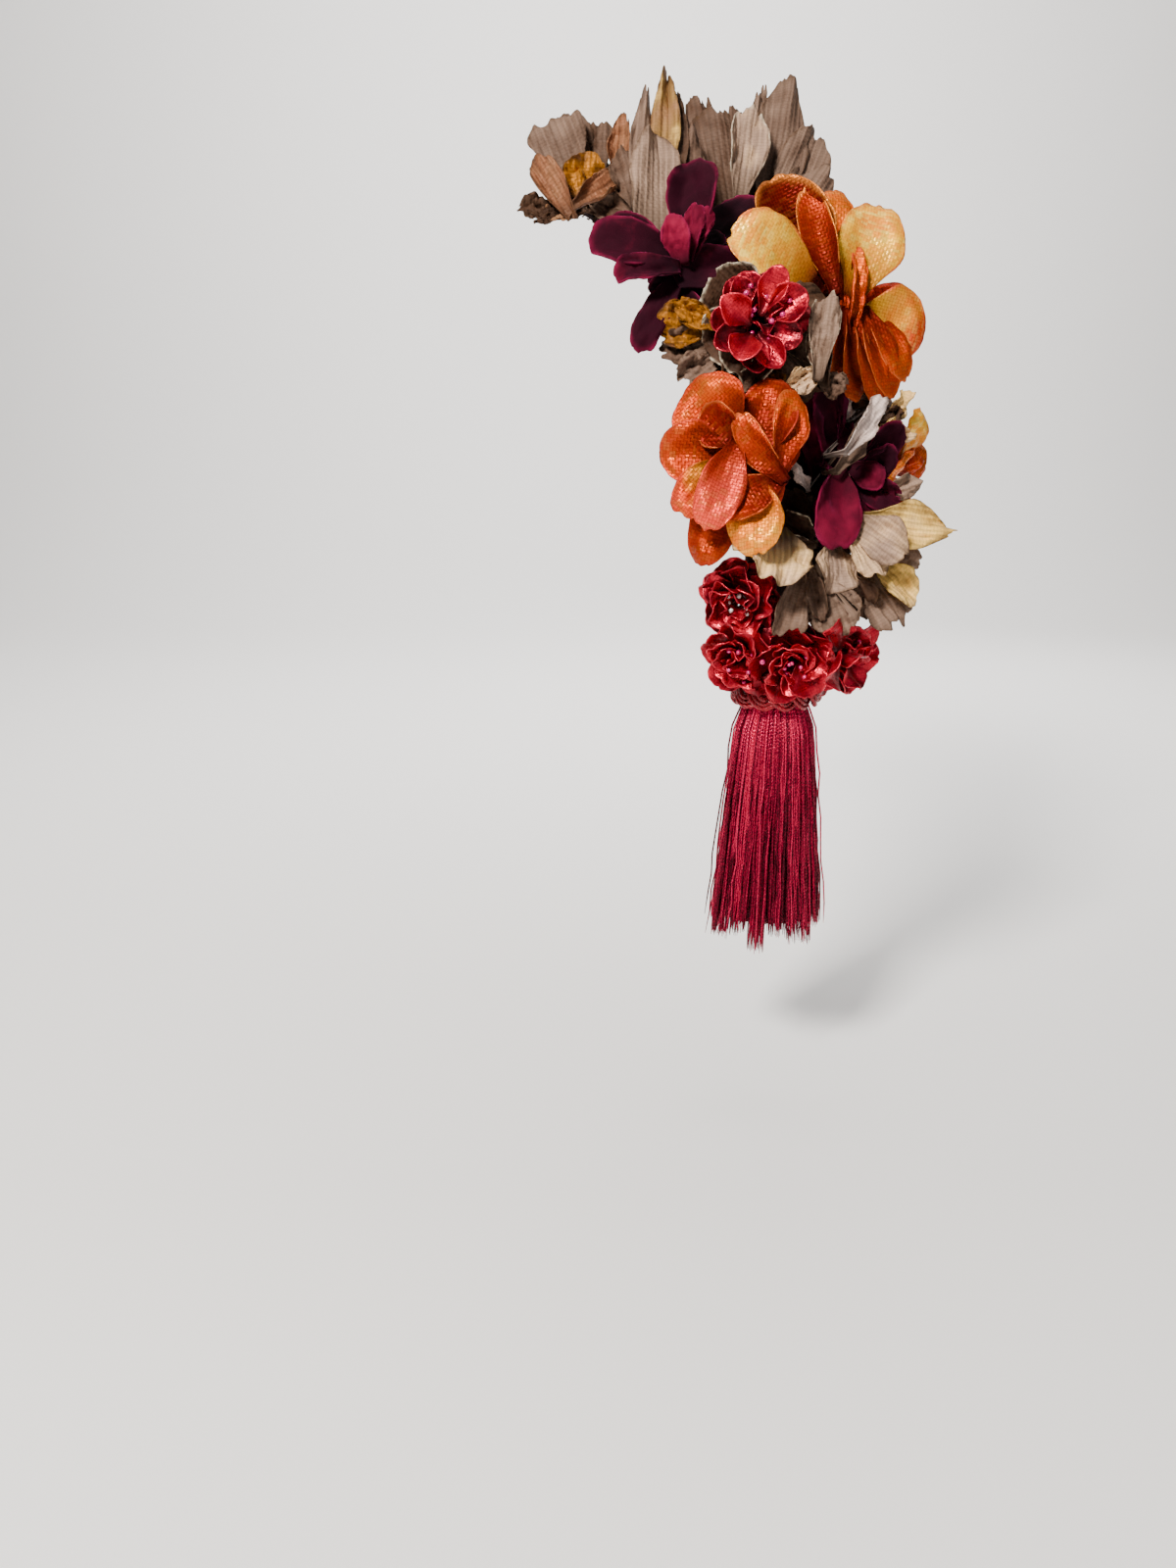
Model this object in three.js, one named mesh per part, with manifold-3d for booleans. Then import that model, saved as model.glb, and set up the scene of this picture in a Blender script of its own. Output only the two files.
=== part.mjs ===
import * as THREE from "three";
import { mergeVertices } from "three/addons/utils/BufferGeometryUtils.js";
import Module from "manifold-3d";

const wasm = await Module();
wasm.setup();

// Driving dimensions, in millimetres and degrees. The wearer looks along -X, and +Z is up.
const GAP = 0.3;
const SEAT_RADII = new THREE.Vector3(110, 84, 119);
const SEAT_MIDDLE = { along: 20, across: 36 };
const FELT_THICKNESS = 2;
const PETAL_CLEARANCE = 1.4;
const PETAL_ROOT = 1.5;
const PETAL_OUTLINE = { widestAt: 0.6, pointFrom: 0.4, pointLoss: 0.75, tiltedBy: 0.5, ruffleTurns: 3 };
const PAD = { radius: 3.5, height: 1.6, sides: 6 };
const STEM = { radius: 1.8, sides: 5, sunk: 0.8 };
const HUB_SIDES = { round: 6, high: 4 };
const SIMPLIFY = 0.6;
const PETAL_GAP = 0.75;

// The band's middle line on the seat: angle from back to crown, angle towards the left ear, half its width.
const BAND_STATIONS = [
  { along: 93, across: 4, halfWidth: 7 },
  { along: 78, across: 15, halfWidth: 11 },
  { along: 56, across: 28, halfWidth: 16 },
  { along: 32, across: 39, halfWidth: 17.5 },
  { along: 4, across: 41, halfWidth: 15 },
  { along: -23, across: 45, halfWidth: 9.5 },
];
const BAND_STEPS = { across: 5, along: 16 };
const BAND_ROUNDING = 0.45;

const COMB = {
  along: 62,
  across: 23.5,
  halfWidth: 10,
  barDepth: 5,
  toothReach: 15,
  teeth: 5,
  toothShare: 0.5,
  thickness: 1.6,
  gap: 0.5,
  toothLap: 1,
};

const TASSEL = {
  x: -9.2,
  y: -22.6,
  top: -64,
  neck: -84,
  bottom: -173,
  neckHalfWidth: 11.5,
  neckHalfDepth: 9,
  hemHalfWidth: 18.5,
  hemHalfDepth: 14,
  shoulder: 0.45,
  shoulderShare: 0.125,
  locks: 12,
  lockSides: 3,
  lockDepth: 0.1,
  rows: 4,
  rowBias: 1.5,
  hemRise: 11,
  hemPace: 2.4,
  headSides: { round: 14, high: 6 },
  foot: [-20, 46],
};
const COLLAR = { middle: -76.4, halfHeight: 7, thickness: 4.6, ribs: 3, ribDepth: 1.1, sides: 16 };

const FINISHES = {
  felt: { color: "#3a2a2c", roughness: 0.95, metalness: 0 },
  comb: { color: "#5a4a3c", roughness: 0.45, metalness: 0 },
  taupe: { color: "#8b7a66", roughness: 0.75, metalness: 0.1 },
  burgundy: { color: "#4d0b28", roughness: 0.85, metalness: 0 },
  orange: { color: "#d0622c", roughness: 0.45, metalness: 0.25 },
  red: { color: "#b3151f", roughness: 0.35, metalness: 0 },
  tassel: { color: "#9e0f33", roughness: 0.5, metalness: 0 },
  cord: { color: "#8f0f1f", roughness: 0.4, metalness: 0 },
};

// How each kind of petal is cut: its thickness, the width of its foot, its ruffles and its mesh steps.
const CUTS = {
  taupe: { thickness: 1.1, foot: 0.16, ruffle: 1.2, waves: 1.5, across: 2, along: 3, hub: 5.2 },
  burgundy: { thickness: 1.2, foot: 0.16, ruffle: 0.5, waves: 1, across: 2, along: 3, hub: 5 },
  orange: { thickness: 1.1, foot: 0.16, ruffle: 0.8, waves: 1, across: 2, along: 3, hub: 5.2 },
  red: { thickness: 1.0, foot: 0.16, ruffle: 0.5, waves: 1, across: 2, along: 2, hub: 4.6 },
};

// Each flower's place over the seat, the way that it faces, and where its stem meets the band: a flower
// without a foot sits in the one behind it. The order is from the flower in front to the one at the back.
const FLOWER_COLUMNS = ["name", "cut", "along", "across", "lift", "yaw", "pitch", "foot"];
const FLOWERS = [
  ["red_flower_top", "red", 48.8, 43.4, 24, -10, 5, null],
  ["burgundy_flower_mid", "burgundy", 16, 33.5, 13, 20, 0, [16, 34]],
  ["orange_flower_left", "orange", 34.5, 59.7, 16, -15, 0, [33, 53.5]],
  ["taupe_flower_mid", "taupe", 23.6, 24.5, 22, 40, 10, [24, 26]],
  ["orange_flower_top", "orange", 45.1, 18.5, 21, 8, 15, [45, 21]],
  ["orange_flower_right", "orange", 38.6, 18.6, 22, 30, -5, [36, 23.5]],
  ["burgundy_flower_top", "burgundy", 67.9, 38.4, 15, -20, 20, [67, 32]],
  ["taupe_flower_cup", "taupe", 47.9, 41.1, 15, -10, 5, [48, 41]],
  ["taupe_flower_low_right", "taupe", 6.5, 39, 14.5, 25, -15, [6, 37]],
  ["taupe_flower_low_left", "taupe", 2.9, 47.7, 13, -3, -15, [1, 50]],
  ["red_flower_bottom_mid", "red", -20.4, 51.7, 22, 5, -15, [-13, 43.5]],
  ["red_flower_low", "red", -9.9, 60, 11, -25, -10, [-6, 51.5]],
  ["red_flower_bottom_right", "red", -15.8, 40.3, 18, 35, -15, [-11, 34]],
  ["red_flower_bottom_left", "red", -24.2, 57.4, 17, -25, -15, [-16.5, 52.5]],
  ["taupe_flower_left", "taupe", 87.4, 15.5, 9, -15, 25, [87, 9]],
  ["taupe_flower_top", "taupe", 74.9, 27.2, 10, 0, 15, [76, 21]],
  ["taupe_flower_right", "taupe", 60.7, 8, 16, 10, 20, [61, 15]],
  ["orange_flower_back", "orange", 11, 13.1, 18, 65, -5, [9.5, 28.5]],
];

// One row for each petal or ring of petals. Turn 0 points right and 90 up, seen from the flower's face.
const PETAL_COLUMNS = ["count", "turn", "rise", "length", "width", "curl", "cup", "tilt", "point"];
const PETALS = {
  red_flower_top: [
    [5, 20, 12, 17.5, 18, 20, 25, 18, 0],
    [3, 50, 45, 13, 14, 15, 35, 18, 0],
  ],
  orange_flower_left: [
    [1, 130, 15, 25, 26, -20, 25, 12, 0],
    [1, 60, 28, 27, 22, -10, 45, -10, 0],
    [1, 140, 62, 13, 13, 20, 50, 0, 0],
    [1, 325, 50, 25, 22, -10, 40, 0, 0],
    [1, 190, 14, 25, 23, -20, 20, 12, 0],
    [1, 225, 18, 28, 18, -15, 25, 12, 0],
    [1, 246, 26, 30, 18, -20, 30, 12, 0],
    [1, 280, 32, 22, 20, -10, 30, 0, 0],
    [1, 287, 14, 36, 22, -20, 30, 10, 0],
    [1, 254, -8, 38, 16, -10, 20, 0, 0],
    [1, 28, 5, 26, 24, -10, 20, 10, 0],
    [1, 0, -30, 26, 22, -10, 20, 0, 0],
  ],
  burgundy_flower_top: [
    [1, 77, 18, 29, 18, -5, 25, 0, 0],
    [1, 33, -6, 25, 20, -10, 20, 10, 0],
    [1, 168, 14, 32, 19, -25, 35, 10, 0],
    [1, 251, 4, 33, 14, -10, 30, 10, 0],
    [1, 290, 8, 26, 15, -10, 25, 10, 0],
    [1, 357, 25, 22, 15, -15, 30, 10, 0],
    [1, 125, 4, 24, 16, -10, 25, 10, 0],
    [1, 213, 30, 13, 9, -10, 35, 0, 0],
    [1, 110, 52, 14, 9, 10, 45, 0, 0],
    [1, 68, 48, 17, 9, 10, 45, 0, 0],
  ],
  burgundy_flower_mid: [
    [1, 104, -4, 33, 20, -5, 25, 8, 0],
    [1, 124, 20, 29, 18, -8, 30, 8, 0],
    [1, 256, 28, 22, 17, -5, 35, 0, 0],
    [1, 242, 2, 30, 20, -5, 25, 8, 0],
    [1, 42, 18, 25, 15, -10, 35, 8, 0],
    [1, 328, 14, 25, 16, -10, 35, 8, 0],
    [1, 178, -14, 26, 22, -10, 25, 8, 0],
    [1, 5, 44, 16, 14, 10, 40, 0, 0],
    [1, 288, -4, 25, 18, -5, 25, 8, 0],
  ],
  orange_flower_top: [
    [1, 152, 30, 36, 28, -15, 25, 12, 0],
    [1, 122, 16, 37, 22, -5, 25, 10, 0],
    [1, 104, 28, 31, 13, -5, 45, 0, 0],
    [1, 76, 8, 31, 16, -5, 30, 10, 0],
    [1, 48, 14, 35, 25, -15, 25, 10, 0],
    [1, 12, 8, 28, 22, -15, 25, 10, 0],
    [1, 225, 20, 22, 18, -15, 30, 10, 0],
    [1, 80, 58, 17, 12, 10, 45, 0, 0],
    [1, 62, -48, 32, 26, -10, 20, 0, 0],
    [1, 15, -42, 30, 24, -10, 20, 0, 0],
  ],
  orange_flower_right: [
    [1, 342, 10, 31, 27, -15, 25, 12, 0],
    [1, 318, 16, 35, 22, -15, 30, 14, 0],
    [1, 290, 26, 38, 20, -10, 38, 14, 0],
    [1, 262, 36, 36, 19, -5, 45, 14, 0],
    [1, 100, 48, 18, 12, 10, 45, 0, 0],
    [1, 24, 10, 26, 22, -15, 25, 10, 0],
    [1, 350, -40, 28, 24, -10, 20, 0, 0],
    [1, 308, -30, 30, 22, -10, 20, 0, 0],
    [1, 188, 15, 22, 18, -5, 30, 0, 0],
    [1, 214, 20, 24, 16, -5, 30, 0, 0],
  ],
  taupe_flower_cup: [
    [1, 138, 30, 32, 32, 15, 35, 10, 0],
    [1, 172, 20, 36, 22, -10, 25, 10, 0],
    [1, 206, 22, 34, 22, -10, 25, 10, 0],
    [1, 232, 45, 23, 22, 10, 35, 10, 0],
    [1, 266, 30, 24, 24, 5, 30, 10, 0],
    [1, 345, 38, 29, 17, 5, 30, 10, 0],
    [1, 14, -12, 25, 24, 0, 20, 0, 0],
    [1, 318, -8, 29, 22, 0, 20, 0, 0],
  ],
  taupe_flower_low_right: [
    [1, 0, 8, 46, 18, -15, 25, 12, 0.8],
    [1, 330, 20, 30, 21, -20, 25, 12, 0],
    [1, 308, 12, 27, 21, -20, 25, 12, 0],
    [1, 300, -6, 41, 20, -10, 20, 10, 0.2],
    [1, 318, 0, 40, 15, -10, 30, 10, 0.4],
    [1, 40, 15, 22, 16, -10, 30, 10, 0.3],
    [1, 20, -30, 28, 20, -10, 20, 0, 0.3],
    [1, 345, -36, 30, 18, -10, 20, 0, 0.3],
  ],
  taupe_flower_low_left: [
    [1, 200, 16, 27, 16, -20, 30, 10, 0.2],
    [1, 250, 10, 33, 14, -10, 40, 10, 0.2],
    [1, 292, 12, 31, 19, -10, 25, 10, 0],
    [1, 150, 12, 22, 16, -10, 30, 10, 0],
    [1, 100, 20, 18, 12, -10, 30, 10, 0.3],
    [1, 325, 5, 24, 16, -10, 25, 10, 0],
    [1, 62, -36, 24, 18, -10, 20, 0, 0.2],
  ],
  red_flower_low: [
    [5, 10, 18, 15, 16, 15, 25, 18, 0],
    [3, 40, 50, 12, 13, 15, 35, 18, 0],
  ],
  red_flower_bottom_right: [
    [5, 0, 22, 17, 18, 15, 25, 18, 0],
    [3, 40, 52, 12, 13, 15, 35, 18, 0],
  ],
  red_flower_bottom_mid: [
    [5, 30, 24, 16, 17, 15, 25, 18, 0],
    [3, 10, 54, 12, 13, 15, 35, 18, 0],
  ],
  red_flower_bottom_left: [
    [5, 20, 22, 16, 17, 15, 25, 18, 0],
    [3, 50, 52, 12, 13, 15, 35, 18, 0],
  ],
  taupe_flower_left: [
    [1, 121, 25, 25, 21, -10, 25, 10, 0],
    [1, 68, 15, 21, 12, -10, 25, 10, 0.1],
    [1, 58, 38, 27, 11, -5, 55, 0, 0.4],
    [1, 160, 30, 18, 12, 5, 45, 10, 0.3],
    [1, 5, 35, 13, 12, 20, 45, 0, 0],
    [1, 230, 15, 16, 15, -10, 30, 10, 0],
    [1, 205, 0, 23, 11, -10, 30, 10, 0.2],
    [1, 320, 10, 20, 15, -10, 25, 10, 0],
    [2, 60, 62, 12, 13, 15, 45, 0, 0],
    [1, 95, -52, 27, 22, -15, 20, 0, 0.2],
    [1, 25, -40, 28, 20, -15, 20, 0, 0.2],
  ],
  taupe_flower_top: [
    [1, 84, 6, 49, 14, -10, 35, 0, 0.9],
    [1, 91, 14, 45, 14, -8, 35, 10, 0.5],
    [1, 76, 14, 44, 12, -8, 35, 10, 0.7],
    [1, 84, 34, 34, 20, -20, 25, 0, 0.1],
    [1, 122, 15, 32, 20, -10, 25, 10, 0.2],
    [1, 42, 12, 36, 18, -10, 25, 10, 0.3],
    [1, 62, -45, 34, 24, -15, 20, 0, 0.2],
    [1, 120, -40, 30, 20, -15, 20, 0, 0.2],
  ],
  taupe_flower_right: [
    [1, 124, 16, 36, 24, -10, 25, 10, 0.2],
    [1, 76, 34, 30, 13, -10, 30, 0, 0.1],
    [1, 116, 4, 40, 10, -8, 35, 10, 0.8],
    [1, 76, 2, 42, 10, -8, 35, 10, 0.7],
    [1, 54, 12, 46, 24, -10, 25, 10, 0.3],
    [1, 25, 18, 34, 22, -10, 25, 10, 0.1],
    [1, 95, -12, 38, 18, -10, 25, 10, 0.4],
    [1, 150, -5, 28, 16, -10, 25, 10, 0.2],
    [1, 70, -55, 33, 24, -15, 20, 0, 0.2],
    [1, 10, -40, 32, 24, -15, 20, 0, 0.2],
  ],
  taupe_flower_mid: [
    [1, 230, 4, 33, 12, -10, 35, 15, 0.3],
    [1, 20, 20, 20, 13, -10, 30, 10, 0.5],
    [1, 345, 15, 22, 13, -10, 30, 10, 0.5],
    [1, 300, 10, 22, 13, -10, 30, 10, 0.3],
    [1, 70, 15, 20, 13, -10, 30, 10, 0.3],
    [1, 130, 15, 20, 13, -10, 30, 10, 0.3],
    [1, 10, -35, 26, 18, -10, 20, 0, 0.3],
  ],
  orange_flower_back: [
    [5, 30, 18, 25, 21, -15, 30, 15, 0],
    [2, 60, 58, 11, 12, 10, 40, 0, 0],
  ],
};

const radians = THREE.MathUtils.degToRad;
const smooth = (value) => THREE.MathUtils.smoothstep(value, 0, 1);
const named = (columns, row) => Object.fromEntries(columns.map((column, i) => [column, row[i]]));

// The seat is the back of a head: an ellipsoid whose surface meets the origin at the band's middle.
function seatDirection(along, across) {
  const sideways = Math.cos(radians(across));
  return new THREE.Vector3(
    sideways * Math.cos(radians(along)),
    -Math.sin(radians(across)),
    sideways * Math.sin(radians(along)),
  );
}

const SEAT_CENTRE = seatDirection(SEAT_MIDDLE.along, SEAT_MIDDLE.across)
  .multiply(SEAT_RADII)
  .negate();

function seatPoint(along, across, lift) {
  const radii = SEAT_RADII.clone().addScalar(lift);
  return seatDirection(along, across).multiply(radii).add(SEAT_CENTRE);
}

function seatNormal(along, across) {
  return seatDirection(along, across).divide(SEAT_RADII).normalize();
}

// A point nearer to the head than the given lift is pushed out to it, as a petal that rests there is.
function pushedOffSeat(point, lift) {
  const radii = SEAT_RADII.clone().addScalar(lift);
  const level = point.clone().sub(SEAT_CENTRE).divide(radii).length();
  return level < 1 ? point.sub(SEAT_CENTRE).divideScalar(level).add(SEAT_CENTRE) : point;
}

// Solids
function solidOf(geometry) {
  geometry.deleteAttribute("normal");
  geometry.deleteAttribute("uv");
  const merged = mergeVertices(geometry, 1e-4);
  const mesh = new wasm.Mesh({
    numProp: 3,
    vertProperties: merged.attributes.position.array,
    triVerts: new Uint32Array(merged.index.array),
  });
  return new wasm.Manifold(mesh);
}

function geometryOf(solid) {
  const mesh = solid.getMesh();
  const geometry = new THREE.BufferGeometry();
  geometry.setAttribute("position", new THREE.BufferAttribute(mesh.vertProperties, 3));
  geometry.setIndex(new THREE.BufferAttribute(mesh.triVerts, 1));
  return geometry;
}

function joined(solids) {
  return solids.reduce((whole, solid) => whole.add(solid));
}

function largestBody(solid) {
  return solid.decompose().reduce((best, body) => (body.volume() > best.volume() ? body : best));
}

// A box whose faces are bent by a function of its three coordinates, each from -1 to 1.
function bentBox(steps, place) {
  const geometry = new THREE.BoxGeometry(2, 2, 2, steps.across, steps.along, 1);
  const position = geometry.attributes.position;
  const point = new THREE.Vector3();
  for (let i = 0; i < position.count; i += 1) {
    point.fromBufferAttribute(position, i);
    position.setXYZ(i, ...place(point.x, point.y, point.z).toArray());
  }
  return geometry;
}

function cylinderBetween(from, to, radius, sides) {
  const axis = to.clone().sub(from);
  const geometry = new THREE.CylinderGeometry(radius, radius, axis.length(), sides);
  const upright = new THREE.Vector3(0, 1, 0);
  const direction = axis.clone().normalize();
  geometry.applyQuaternion(new THREE.Quaternion().setFromUnitVectors(upright, direction));
  geometry.translate(...from.clone().add(to).multiplyScalar(0.5).toArray());
  return solidOf(geometry);
}

// Felt base
const bandCurve = new THREE.CatmullRomCurve3(
  BAND_STATIONS.map((station) => new THREE.Vector3(station.along, station.across, station.halfWidth)),
);

function makeFeltBase() {
  const geometry = bentBox(BAND_STEPS, (a, b, side) => {
    const end = b * Math.sqrt(1 - BAND_ROUNDING * a * a * b * b * b * b);
    const station = bandCurve.getPoint((1 - end) / 2);
    const across = station.y - a * station.z;
    return seatPoint(station.x, across, side > 0 ? FELT_THICKNESS : 0);
  });
  return solidOf(geometry);
}

// Hair comb, in the hollow under the band
function makeHairComb() {
  const outer = -COMB.gap;
  const inner = -COMB.gap - COMB.thickness;
  const barEnd = COMB.along - COMB.barDepth / 2;
  const lift = (side) => (side > 0 ? outer : inner);
  const bar = bentBox({ across: 3, along: 1 }, (a, b, side) =>
    seatPoint(COMB.along + (b * COMB.barDepth) / 2, COMB.across - a * COMB.halfWidth, lift(side)),
  );
  const pitch = (2 * COMB.halfWidth) / COMB.teeth;
  const teeth = Array.from({ length: COMB.teeth }, (_, i) => {
    const middle = COMB.across - COMB.halfWidth + pitch * (i + 0.5);
    return bentBox({ across: 1, along: 2 }, (a, b, side) => {
      const along = barEnd + COMB.toothLap - ((1 - b) / 2) * COMB.toothReach;
      return seatPoint(along, middle - (a * pitch * COMB.toothShare) / 2, lift(side));
    });
  });
  return joined([bar, ...teeth].map(solidOf));
}

// Flowers
function flowerPlacement(flower) {
  const yaw = radians(flower.yaw);
  const pitch = radians(flower.pitch);
  const face = new THREE.Vector3(
    Math.sin(yaw) * Math.cos(pitch),
    -Math.cos(yaw) * Math.cos(pitch),
    Math.sin(pitch),
  );
  const right = new THREE.Vector3(Math.cos(yaw), Math.sin(yaw), 0);
  const up = new THREE.Vector3().crossVectors(face, right);
  const placement = new THREE.Matrix4().makeBasis(right, up, face);
  return placement.setPosition(flowerHub(flower));
}

function flowerHub(flower) {
  return seatPoint(flower.along, flower.across, flower.lift);
}

function petalRows(flower) {
  return PETALS[flower.name].flatMap((row) => {
    const petal = named(PETAL_COLUMNS, row);
    return Array.from({ length: petal.count }, (_, i) => ({
      ...petal,
      turn: petal.turn + (360 / petal.count) * i,
    }));
  });
}

// A petal's middle surface in its flower's frame: a rounded blade, arched to its tip, cupped and ruffled.
function petalPoint(petal, cut, a, b) {
  const x = a * Math.sqrt(1 - (b * b) / 2);
  const s = (b * Math.sqrt(1 - (a * a) / 2) + 1) / 2;
  const { widestAt, pointFrom, pointLoss, tiltedBy, ruffleTurns } = PETAL_OUTLINE;
  const narrowing = cut.foot + (1 - cut.foot) * smooth(s / widestAt);
  const pointing = 1 - pointLoss * petal.point * smooth((s - pointFrom) / (1 - pointFrom));
  const halfWidth = (petal.width / 2) * narrowing * pointing;

  const rise = radians(petal.rise);
  const curl = radians(petal.curl) || 1e-4;
  const slope = rise + curl * s;
  const reach = PETAL_ROOT + (petal.length * (Math.sin(slope) - Math.sin(rise))) / curl;
  const height = (petal.length * (Math.cos(rise) - Math.cos(slope))) / curl;

  const cup = radians(petal.cup) || 1e-4;
  const ruffle = cut.ruffle * Math.sin(cut.waves * Math.PI * x + radians(petal.turn * ruffleTurns)) * s * s;
  const flatSide = (halfWidth / cup) * Math.sin(cup * x);
  const flatRise = (halfWidth / cup) * (1 - Math.cos(cup * x)) + ruffle;
  const tilt = radians(petal.tilt) * smooth(s / tiltedBy);
  const sideways = flatSide * Math.cos(tilt) - flatRise * Math.sin(tilt);
  const outwards = flatSide * Math.sin(tilt) + flatRise * Math.cos(tilt);

  const radial = reach - Math.sin(slope) * outwards;
  const turn = radians(petal.turn);
  return new THREE.Vector3(
    radial * Math.cos(turn) + sideways * Math.sin(turn),
    radial * Math.sin(turn) - sideways * Math.cos(turn),
    height + Math.cos(slope) * outwards,
  );
}

function makePetal(petal, cut, placement, grown) {
  const clear = FELT_THICKNESS + PETAL_CLEARANCE;
  const surface = (a, b) => pushedOffSeat(petalPoint(petal, cut, a, b).applyMatrix4(placement), clear);
  const step = 0.02;
  const inward = 0.9;
  const half = cut.thickness / 2 + grown;
  const geometry = bentBox(cut, (a, b, side) => {
    const aBase = THREE.MathUtils.clamp(a, step - 1, 1 - step);
    const bBase = THREE.MathUtils.clamp(b, step - 1, 1 - step);
    const acrossWay = surface(aBase + step, bBase).sub(surface(aBase - step, bBase));
    const alongWay = surface(aBase, bBase + step).sub(surface(aBase, bBase - step));
    const normal = acrossWay.cross(alongWay).normalize();
    const onRim = Math.max(Math.abs(a), Math.abs(b)) === 1;
    const rimWay = surface(a, b).sub(surface(a * inward, b * inward)).normalize();
    return surface(a, b)
      .addScaledVector(normal, side * half)
      .addScaledVector(rimWay, onRim ? grown : 0);
  });
  return solidOf(geometry);
}

// A sewing pad on the band and a stem that rises from it.
function makeStem([along, across], top, grown) {
  const normal = seatNormal(along, across);
  const padFoot = seatPoint(along, across, FELT_THICKNESS + GAP - grown);
  const padTop = padFoot.clone().addScaledVector(normal, PAD.height + 2 * grown);
  const stemFoot = padFoot.clone().lerp(padTop, STEM.sunk);
  return cylinderBetween(padFoot, padTop, PAD.radius + grown, PAD.sides).add(
    cylinderBetween(stemFoot, top, STEM.radius + grown, STEM.sides),
  );
}

// A flower that sits in another one has a hub and no stem.
function makeHub(flower, grown) {
  const hub = flowerHub(flower);
  const ball = new THREE.SphereGeometry(CUTS[flower.cut].hub + grown, HUB_SIDES.round, HUB_SIDES.high);
  const solid = solidOf(ball.translate(...hub.toArray()));
  return flower.foot ? solid.add(makeStem(flower.foot, hub, grown)) : solid;
}

// Each flower is cut back from the flowers in front of it, and from every stem and the tassel.
function makeFlowers() {
  const flowers = FLOWERS.map((row) => named(FLOWER_COLUMNS, row));
  const grownHubs = new Map(flowers.map((flower) => [flower.name, makeHub(flower, PETAL_GAP)]));
  grownHubs.set("tassel", makeTasselEnvelope());
  const grownPetals = [];
  return flowers.map((flower) => {
    const cut = CUTS[flower.cut];
    const placement = flowerPlacement(flower);
    const rows = petalRows(flower);
    const hub = makeHub(flower, 0);
    let petals = joined(rows.map((petal) => makePetal(petal, cut, placement, 0)));
    for (const [name, other] of grownHubs) {
      if (name !== flower.name) {
        petals = petals.subtract(other);
      }
    }
    for (const other of grownPetals) {
      petals = petals.subtract(other);
    }
    grownPetals.push(joined(rows.map((petal) => makePetal(petal, cut, placement, PETAL_GAP))));
    const solid = largestBody(petals.add(hub).asOriginal().simplify(SIMPLIFY));
    return { name: flower.name, finish: flower.cut, solid, placement };
  });
}

// Tassel: locks of thread under a bound head, on a stem from the band
function tasselSize(share) {
  const spread = TASSEL.shoulder * smooth(share / TASSEL.shoulderShare) + (1 - TASSEL.shoulder) * share;
  return {
    halfWidth: THREE.MathUtils.lerp(TASSEL.neckHalfWidth, TASSEL.hemHalfWidth, spread),
    halfDepth: THREE.MathUtils.lerp(TASSEL.neckHalfDepth, TASSEL.hemHalfDepth, spread),
  };
}

function hangerTop() {
  return new THREE.Vector3(TASSEL.x, TASSEL.y, (TASSEL.top + TASSEL.neck) / 2);
}

function makeTassel() {
  const skirt = new THREE.CylinderGeometry(1, 1, 1, TASSEL.locks * TASSEL.lockSides, TASSEL.rows);
  const position = skirt.attributes.position;
  for (let i = 0; i < position.count; i += 1) {
    const radius = Math.hypot(position.getX(i), position.getZ(i));
    const turn = Math.atan2(-position.getZ(i), position.getX(i));
    const lock = (turn / (2 * Math.PI) + 1) * TASSEL.locks;
    const share = (0.5 - position.getY(i)) ** TASSEL.rowBias;
    const wave = Math.sin(TASSEL.hemPace * (Math.round(lock) % TASSEL.locks) + 1);
    const hem = TASSEL.hemRise * (0.5 + 0.5 * wave) * share;
    const { halfWidth, halfDepth } = tasselSize(share);
    const grooved = Math.min(1, share / TASSEL.shoulderShare);
    const groove = 1 - TASSEL.lockDepth * Math.abs(Math.sin(Math.PI * lock)) * grooved;
    position.setXYZ(
      i,
      TASSEL.x + halfWidth * groove * radius * Math.cos(turn),
      TASSEL.y + halfDepth * groove * radius * Math.sin(turn),
      THREE.MathUtils.lerp(TASSEL.neck, TASSEL.bottom, share) + hem * radius,
    );
  }
  const head = new THREE.SphereGeometry(1, TASSEL.headSides.round, TASSEL.headSides.high);
  head.rotateX(Math.PI / 2);
  head.scale(TASSEL.neckHalfWidth - GAP, TASSEL.neckHalfDepth - GAP, TASSEL.top - TASSEL.neck);
  head.translate(TASSEL.x, TASSEL.y, TASSEL.neck);
  return joined([solidOf(skirt), solidOf(head), makeStem(TASSEL.foot, hangerTop(), 0)]);
}

// The room that the tassel, its collar and its hanger take up, which the petals keep out of.
function makeTasselEnvelope() {
  const hem = tasselSize(1).halfWidth + GAP;
  const collar = TASSEL.neckHalfWidth + COLLAR.thickness + 2 * GAP;
  const collarTop = COLLAR.middle + COLLAR.halfHeight + GAP;
  const collarFoot = COLLAR.middle - COLLAR.halfHeight - GAP;
  const outline = [
    new THREE.Vector2(0, TASSEL.bottom - GAP),
    new THREE.Vector2(hem, TASSEL.bottom - GAP),
    new THREE.Vector2(hem, collarFoot),
    new THREE.Vector2(collar, collarFoot),
    new THREE.Vector2(collar, collarTop),
    new THREE.Vector2(TASSEL.neckHalfWidth, collarTop),
    new THREE.Vector2(0, TASSEL.top + GAP),
  ];
  const room = new THREE.LatheGeometry(outline, COLLAR.sides);
  room.rotateX(Math.PI / 2);
  room.scale(1, (TASSEL.neckHalfDepth + 2 * GAP) / TASSEL.neckHalfWidth, 1);
  room.translate(TASSEL.x, TASSEL.y, 0);
  return solidOf(room).add(makeStem(TASSEL.foot, hangerTop(), GAP));
}

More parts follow.
